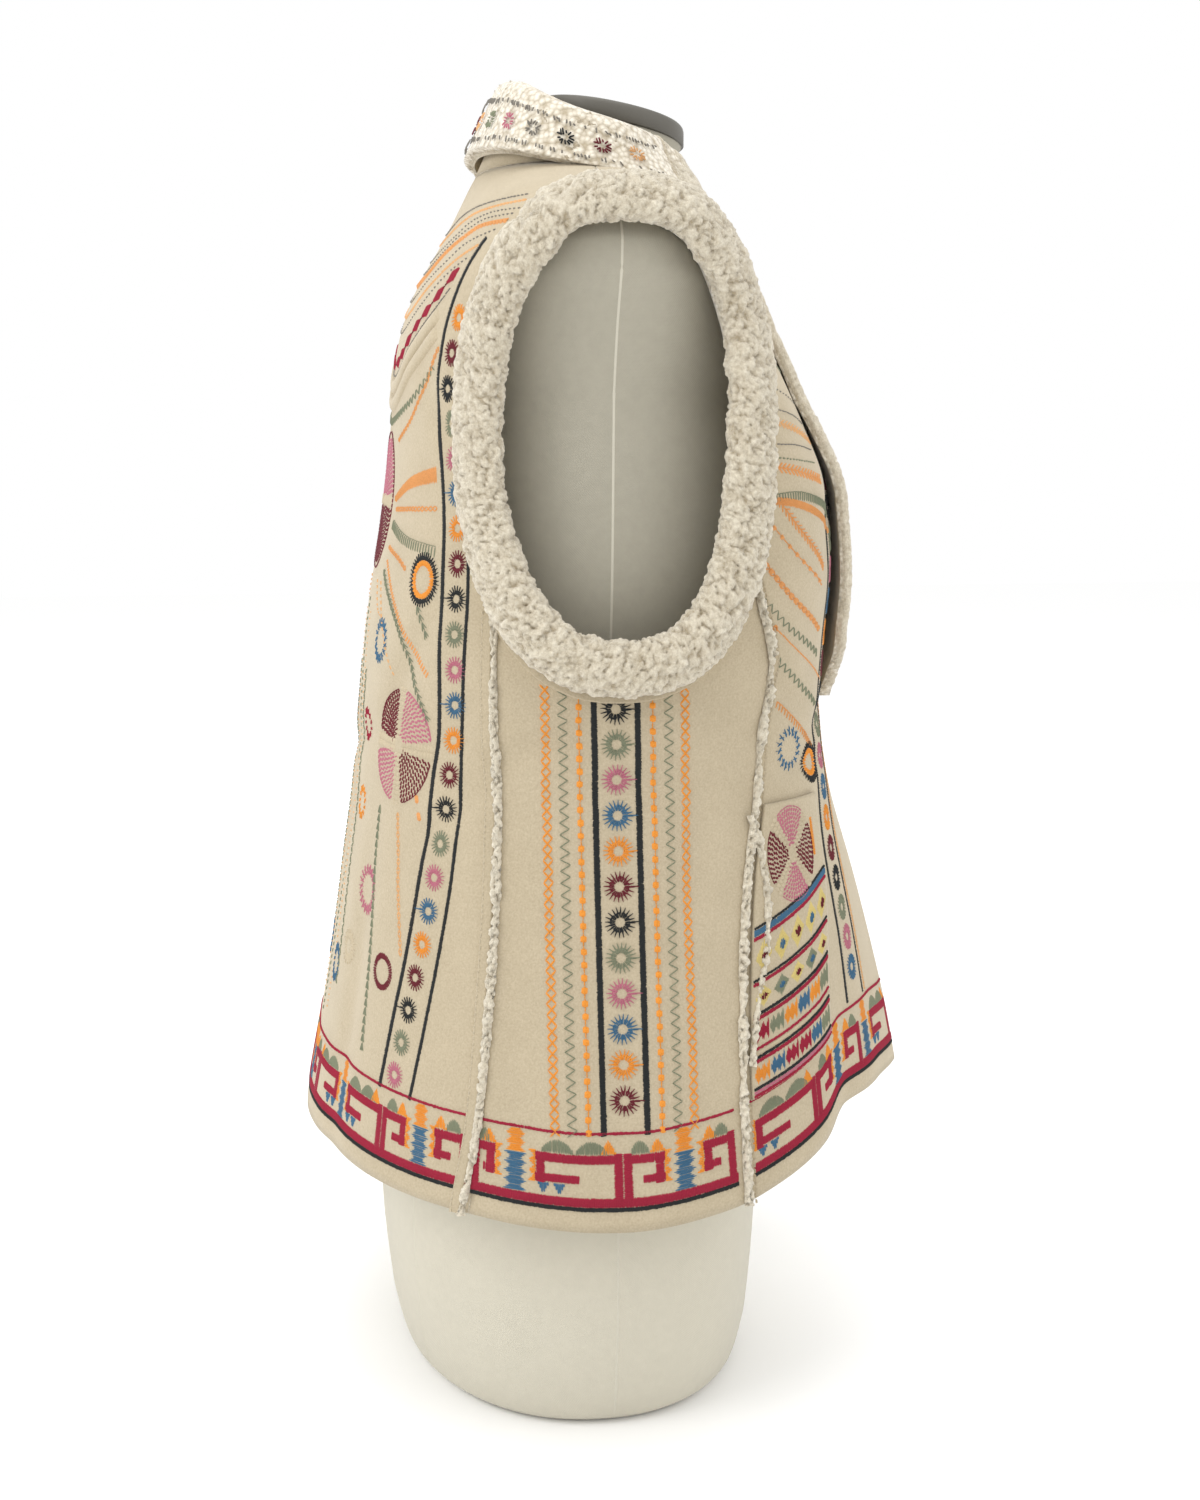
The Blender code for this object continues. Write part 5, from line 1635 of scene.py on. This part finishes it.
# Patch pocket: stripes and toothed rows that follow the hem, a lattice band and a quartered disc.
pocketStripes = (("crimson", 0.0010, 0.0018), ("pink", 0.0028, 0.0018), ("black", 0.0046, 0.0018),
                 ("crimson", 0.0182, 0.0022), ("black", 0.0202, 0.0016), ("sand", 0.0224, 0.0020),
                 ("crimson", 0.0246, 0.0016), ("crimson", 0.0396, 0.0022), ("black", 0.0418, 0.0018),
                 ("crimson", 0.0572, 0.0020), ("black", 0.0592, 0.0014), ("crimson", 0.0800, 0.0020),
                 ("blue", 0.0830, 0.0036), ("black", 0.0856, 0.0014))
pocketTeeth = ((0.0060, 0.0166, ("orange", "blue", "crimson", "crimson", "blue", "sage")),
               (0.0268, 0.0376, ("crimson", "sage", "orange", "blue", "orange", "sage")))


# A figure as high above its middle line as below it: its half height is a function along it.
def evenFigure(place, begin, end, middle, half, **more):
    return upright(place, begin, end, lambda t: middle - half(t), lambda t: middle + half(t), **more)


# The pocket's chart: its length, the part of the pocket's width it takes, and its diamonds as a
# low edge, a height and two threads that take turns.
pocketChart = {
    "long": 0.0640, "margin": 0.02, "level": 0.2150, "lean": 0.016, "toothGap": 0.0006,
    "toothCount": 2.5, "toothRoot": 0.28, "diamonds": 5, "diamondGap": 0.0008, "heart": 0.45,
    "rows": ((0.0440, 0.0112, ("yellow", "sage")), (0.0612, 0.0170, ("yellow", "yellow"))),
}


def sewPocket():
    chart = pocketChart
    long = chart["long"]

    def place(points):
        points = np.asarray(points, float)
        share = chart["margin"] + (1 - 2 * chart["margin"]) * points[..., 0] / long
        height = points[..., 1] + chart["level"]
        angle = pocketAngles(height + chart["lean"] / 2 - chart["lean"] * (1 - share), share)
        return np.stack([angle, pocketFoot(angle) + points[..., 1]], -1)

    def toothed(t):
        return half * (chart["toothRoot"] + (1 - chart["toothRoot"]) * (1 - teeth(t, chart["toothCount"])))

    def diamond(t):
        return tall / 2 * (1 - np.abs(2 * t - 1))

    def heart(t):
        return diamond(t) * chart["heart"]
    for colour, height, width in pocketStripes:
        sew("pocket", colour, bar(place, (0, height), (long, height), width))
    for low, high, colours in pocketTeeth:
        middle, half = (low + high) / 2, (high - low) / 2
        for number, colour in enumerate(colours):
            begin = long * number / len(colours)
            end = begin + long / len(colours) - 2 * chart["toothGap"]
            sew("pocket", colour, evenFigure(place, begin + chart["toothGap"], end, middle, toothed,
                                             pitch=0.0008))
    wide = long / chart["diamonds"]
    for number in range(chart["diamonds"]):
        begin, end = long * number / chart["diamonds"], long * number / chart["diamonds"] + wide
        for low, tall, colours in chart["rows"]:
            middle = low + tall / 2
            sew("pocket", colours[number % 2], evenFigure(place, begin + chart["diamondGap"],
                                                          end - chart["diamondGap"], middle, diamond))
            sew("pocket", ("burgundy", "blue")[number % 2], evenFigure(
                place, begin + wide * 0.30, begin + wide * 0.70, middle, heart, ridge=0.0013))
    quarteredDisc("pocket", at(58.0, 0.3290), 0.0262, ("pink", "burgundy", "pink", "burgundy"), 0.0062,
                  45, 0.74)
    sew("pocket", "orange", satin(route((51.6, 0.345), (51.2, 0.325)), (0.0020, 0.0032, 0.0020)))


# Four cross sections of three points for each stitch: thin at its ends, ridged between them.
def stitchPoints(spots, out, widths, rise, shake):
    aside = unit(np.cross(out, unit(spots[-1] - spots[0])))
    rings = []
    for share, spot in zip(stitchShares, spots):
        moved = shake[0] * (1 - share) + shake[1] * share
        spot = spot + (moved - out * (moved * out).sum(-1, keepdims=True))
        ended = share in (0, 1)
        width = (widths[:, 0] + (widths[:, 1] - widths[:, 0]) * share) * (0.6 if ended else 1)
        half = aside * (width / 2)[:, None]
        top = out * (rise * (0.1 if ended else 1))[:, None]
        sunk = out * needle["sunk"]
        rings.append(np.stack([spot - half - sunk, spot + top, spot + half - sunk], 1))
    return np.stack(rings, 1)


def addThreads(name, points, colour):
    start = (np.arange(len(points)) * 12)[:, None, None]
    corner = np.array([(3 * k + m, 3 * k + m + 3, 3 * k + m + 4, 3 * k + m + 1)
                       for k in range(3) for m in range(2)])
    faces = (start + corner[None]).reshape(-1, 4)
    addPiece(name, points.reshape(-1, 3), faces, [threads[colour]])
    return 2 * len(faces)


def addStitches():
    total = 0
    for (region, colour), groups in sorted(sewn.items()):
        rows = np.concatenate(groups)
        lift = pocket["gap"] + pocket["wall"] if region == "pocket" else 0.0
        both = []
        for side in (-1, 1):
            shake = seeded(len(rows) + side).normal(0, needle["shake"], (2, len(rows), 3))
            middle = (rows[:, :2] + rows[:, 2:4]) / 2
            out = outward(side * middle[:, 0], middle[:, 1])
            places = [rows[:, :2] + (rows[:, 2:4] - rows[:, :2]) * share for share in stitchShares]
            spots = [drape(side * each[:, 0], each[:, 1]) + out * lift for each in places]
            both.append(stitchPoints(spots, out, rows[:, 4:6], rows[:, 6], shake))
        total += addThreads("embroidery_" + region + "_" + colour, np.concatenate(both), colour)
    print("stage: embroidery sewn,", total, "triangles")


collarChart = {
    "lines": (0.16, 0.84), "ends": 0.012, "pitch": 0.0021, "kept": 0.66,
    "rosetteFrom": 0.020, "rosetteTo": 0.016, "rosettePitch": 0.0205, "spokes": 13,
    "eye": 0.0020, "reach": 0.0052, "lift": 0.0013, "shake": 0.0004, "width": 0.0010, "ridge": 0.0006,
    "colours": ("black", "burgundy", "peach", "sage", "pink", "ghost"),
}


# The collar's stitching comes through its fleece only in part: two broken lines and rosettes.
def addCollarStitches():
    chart = collarChart
    suede, wool = collarFaces
    fall = slice(-panels["fallCuts"], None)
    face, normal = wool[:, fall], unit(wool[:, fall] - suede[:, fall])
    length = runLength(face[:, face.shape[1] // 2])
    deep = np.linalg.norm(face[:, -1] - face[:, 0], axis=1).mean()

    def spot(grid, points):
        row = np.interp(points[:, 0], length, np.arange(len(length)))
        column = np.clip(points[:, 1] / deep, 0, 0.999) * (grid.shape[1] - 1)
        i, j = np.minimum(row.astype(int), len(length) - 2), column.astype(int)
        a, b = (row - i)[:, None], (column - j)[:, None]
        return ((grid[i, j] * (1 - a) + grid[i + 1, j] * a) * (1 - b)
                + (grid[i, j + 1] * (1 - a) + grid[i + 1, j + 1] * a) * b)
    made = {}
    for down in chart["lines"]:
        x = np.arange(chart["ends"], length[-1] - chart["ends"], chart["pitch"])
        x = x[seeded(int(100 * down)).random(len(x)) < chart["kept"]]
        lower = np.stack([x, x * 0 + deep * down - 0.0012], -1)
        upper = np.stack([x + 0.0006, x * 0 + deep * down + 0.0014], -1)
        made.setdefault("ghost", []).append((lower, upper))
    for number, x in enumerate(np.arange(chart["rosetteFrom"], length[-1] - chart["rosetteTo"],
                                         chart["rosettePitch"])):
        centre = np.array([x, deep * 0.5])
        eye, reach = (centre + circle(chart[radius], chart["spokes"]) for radius in ("eye", "reach"))
        made.setdefault(chart["colours"][number % 6], []).append((eye, reach))
    for colour, groups in made.items():
        first, second = (np.concatenate([group[k] for group in groups]) for k in (0, 1))
        starts, ends = spot(face, first), spot(face, second)
        out = unit(spot(normal, (first + second) / 2))
        spots = [starts + (ends - starts) * share + out * chart["lift"] for share in stitchShares]
        shake = seeded(len(first)).normal(0, chart["shake"], (2, len(first), 3))
        widths, ridges = np.full((len(first), 2), chart["width"]), np.full(len(first), chart["ridge"])
        addThreads("collar_stitches_" + colour, stitchPoints(spots, out, widths, ridges, shake), colour)


for step in (sewSideColumn, sewBackColumn, sewFrontStrip, sewHemBand, sewBack, sewYoke, sewFront, sewPocket,
             addYokeRidges):
    step()
addStitches()
addCollarStitches()


form = {
    "square": 2.2, "sides": 120, "gather": 0.55, "neckTilt": 0.18, "tiltFrom": 0.700, "gap": 0.0010,
    "seams": (-90, 90, -38, 38, -142, 142, 0.0, 180), "seamFrom": 0.004, "seamTo": 0.700,
    "seamCuts": 180, "seamHalf": 0.0011, "seamSunk": 0.0003, "seamRise": 0.0004,
}
formHeights = np.concatenate([np.linspace(0, 0.012, 7), np.linspace(0.02, 0.575, 60),
                              np.linspace(0.585, 0.690, 30), np.linspace(0.694, 0.727, 14)])
formContact = np.array([(0.575, 0.0), (0.610, 0.55), (0.635, 1.0), (0.690, 1.0), (0.697, 0.0)])


def formRing(height, angle):
    sizes = (readTable(formRows, formColumns, name, height) for name in formColumns[1:4])
    x, y = section(angle, *sizes, form["square"], form["square"])
    own = np.stack([x, y + readTable(formRows, formColumns, "centreY", height), height + 0 * x], -1)
    share = np.interp(height, formContact[:, 0], formContact[:, 1])[..., None]
    hung = lifted(angle, height + 0 * angle, -(vest["bodyWall"] + form["gap"]) + 0 * angle)
    return own + (hung - own) * share


# Dress form: level sections, closed at both ends, the neck's top tilted forward.
def addForm():
    angle = np.linspace(-np.pi, np.pi, form["sides"], endpoint=False)
    angle = (angle + form["gather"] * np.sin(2 * angle) / 2)[None, :]
    heights = formHeights[:, None]
    rings = formRing(heights + 0 * angle, angle + 0 * heights)
    neckY, neckTop = formRows[-1, 4], formRows[-1, 0]
    tilt = np.clip((heights - form["tiltFrom"]) / (neckTop - form["tiltFrom"]), 0, 1)
    rings[..., 2] += form["neckTilt"] * tilt * (rings[..., 1] - neckY)
    points, quads, fans = closedRings(rings)
    steps = np.linalg.norm(np.diff(rings, axis=1), axis=-1)
    along = np.concatenate([np.zeros((len(rings), 1)), np.cumsum(steps, 1)], 1)
    uv = np.concatenate([np.stack([along, rings[..., 2]], -1).reshape(-1, 2), np.zeros((2, 2))])
    body = addPiece("form_body", points, quads, [materials["linen"]], uv=uv, triangles=fans)
    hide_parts("form_torso")
    return rings[-1]


# Sewn seams of the form's cover as fine welts: each side, the centres and the princess lines.
def addFormSeams():
    heights = np.linspace(form["seamFrom"], form["seamTo"], form["seamCuts"])
    for number, degrees in enumerate(form["seams"]):
        angle = np.full(len(heights), math.radians(degrees))
        line = formRing(heights, angle)
        aside = unit(formRing(heights, angle + 0.004) - line)
        out = unit(np.cross(aside, np.gradient(line, axis=0)))
        aside, sunk = aside * form["seamHalf"], out * form["seamSunk"]
        rings = np.stack([line - aside - sunk, line + out * form["seamRise"], line + aside - sunk], 1)
        addGrid("form_seam_" + str(number), rings, False, "seam")


capProfile = np.array([  # wider than the neck, rise: the turned profile of the cap
    (0.0008, 0.0), (0.0015, 0.0006), (0.0015, 0.0078), (0.0011, 0.0094), (0.0002, 0.0103),
    (-0.0010, 0.0106), (-0.0180, 0.0140), (-0.0400, 0.0145),
])


def addCap(top):
    neckY, neckTop = formRows[-1, 4], formRows[-1, 0]
    neckRadius = formRows[-1, 1]
    middle = np.array([0.0, neckY, neckTop])
    rings = middle + (top - middle)[None] * (1 + capProfile[:, 0] / neckRadius)[:, None, None]
    rings[..., 2] = neckTop + form["neckTilt"] * (rings[..., 1] - neckY) + vest["seamGap"]
    rings[..., 2] += capProfile[:, 1][:, None]
    points, quads, fans = closedRings(rings)
    cap = addPiece("neck_cap", points, quads, [materials["cap"]], triangles=fans)
    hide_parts("form_neck_cap")


addCap(addForm())
addFormSeams()
print("stage: dress form and cap turned")


stage = {
    "floorHalf": 6.0, "floorDrop": 0.0005, "floorColour": (0.985, 0.985, 0.982, 1),
    "floorLook": {"roughness": 1.0, "gloss": 0.0}, "sky": (1.0, 1.0, 1.0, 1), "skyStrength": 1.0,
}


def addStage():
    half, drop = stage["floorHalf"], -stage["floorDrop"]
    corners = [(-half, -half, drop), (half, -half, drop), (half, half, drop), (-half, half, drop)]
    mesh = bpy.data.meshes.new("floor")
    mesh.from_pydata(corners, [], [(0, 1, 2, 3)])
    mesh.materials.append(Net("floor").finished(stage["floorLook"], stage["floorColour"]))
    addObject("floor", mesh)
    world = bpy.data.worlds.new("studio")
    world.use_nodes = True
    background = world.node_tree.nodes["Background"]
    background.inputs["Color"].default_value = stage["sky"]
    background.inputs["Strength"].default_value = stage["skyStrength"]
    bpy.context.scene.world = world


# Soft lamps: name, place, the point it looks at, its size in metres and its power in watts.
lamps = (
    ("key", (-0.7, 1.8, 1.5), (0, 0, 0.38), 1.2, 18.5),
    ("front_fill", (-1.1, -1.6, 1.3), (0, 0, 0.36), 1.4, 7.0),
    ("top", (-0.3, 0.1, 2.4), (0, 0, 0.4), 1.4, 14.0),
    ("far_side", (1.8, -0.4, 1.4), (0, 0, 0.42), 1.6, 8.0),
)


def addLamps():
    for name, place, aim, size, power in lamps:
        light = bpy.data.lights.new(name, "AREA")
        light.size, light.energy = size, power
        lamp = addObject(name, light)
        lamp.location = place
        lamp.rotation_euler = (Vector(aim) - Vector(place)).to_track_quat("-Z", "Y").to_euler()


camera = {
    "distance": 1.1, "height": 0.546, "lookDown": 9.44, "turnBack": 10.0, "lens": 43.3,
    "aimY": -0.0186,
}


# The camera stands off the wearer's right side, turned a little to the back, looking down.
def addCamera():
    turn, down = math.radians(camera["turnBack"]), math.radians(camera["lookDown"])
    data = bpy.data.cameras.new("camera")
    data.lens, data.sensor_width = camera["lens"], 36.0
    eye = addObject("camera", data)
    away, aimY = camera["distance"], camera["aimY"] + vest["axisY"]
    eye.location = (-away * math.cos(turn), away * math.sin(turn) + aimY, camera["height"])
    look = Vector((math.cos(turn) * math.cos(down), -math.sin(turn) * math.cos(down), -math.sin(down)))
    eye.rotation_euler = look.to_track_quat("-Z", "Y").to_euler()
    bpy.context.scene.camera = eye


addStage()
addLamps()
addCamera()
bpy.context.scene.view_settings.view_transform = "Standard"
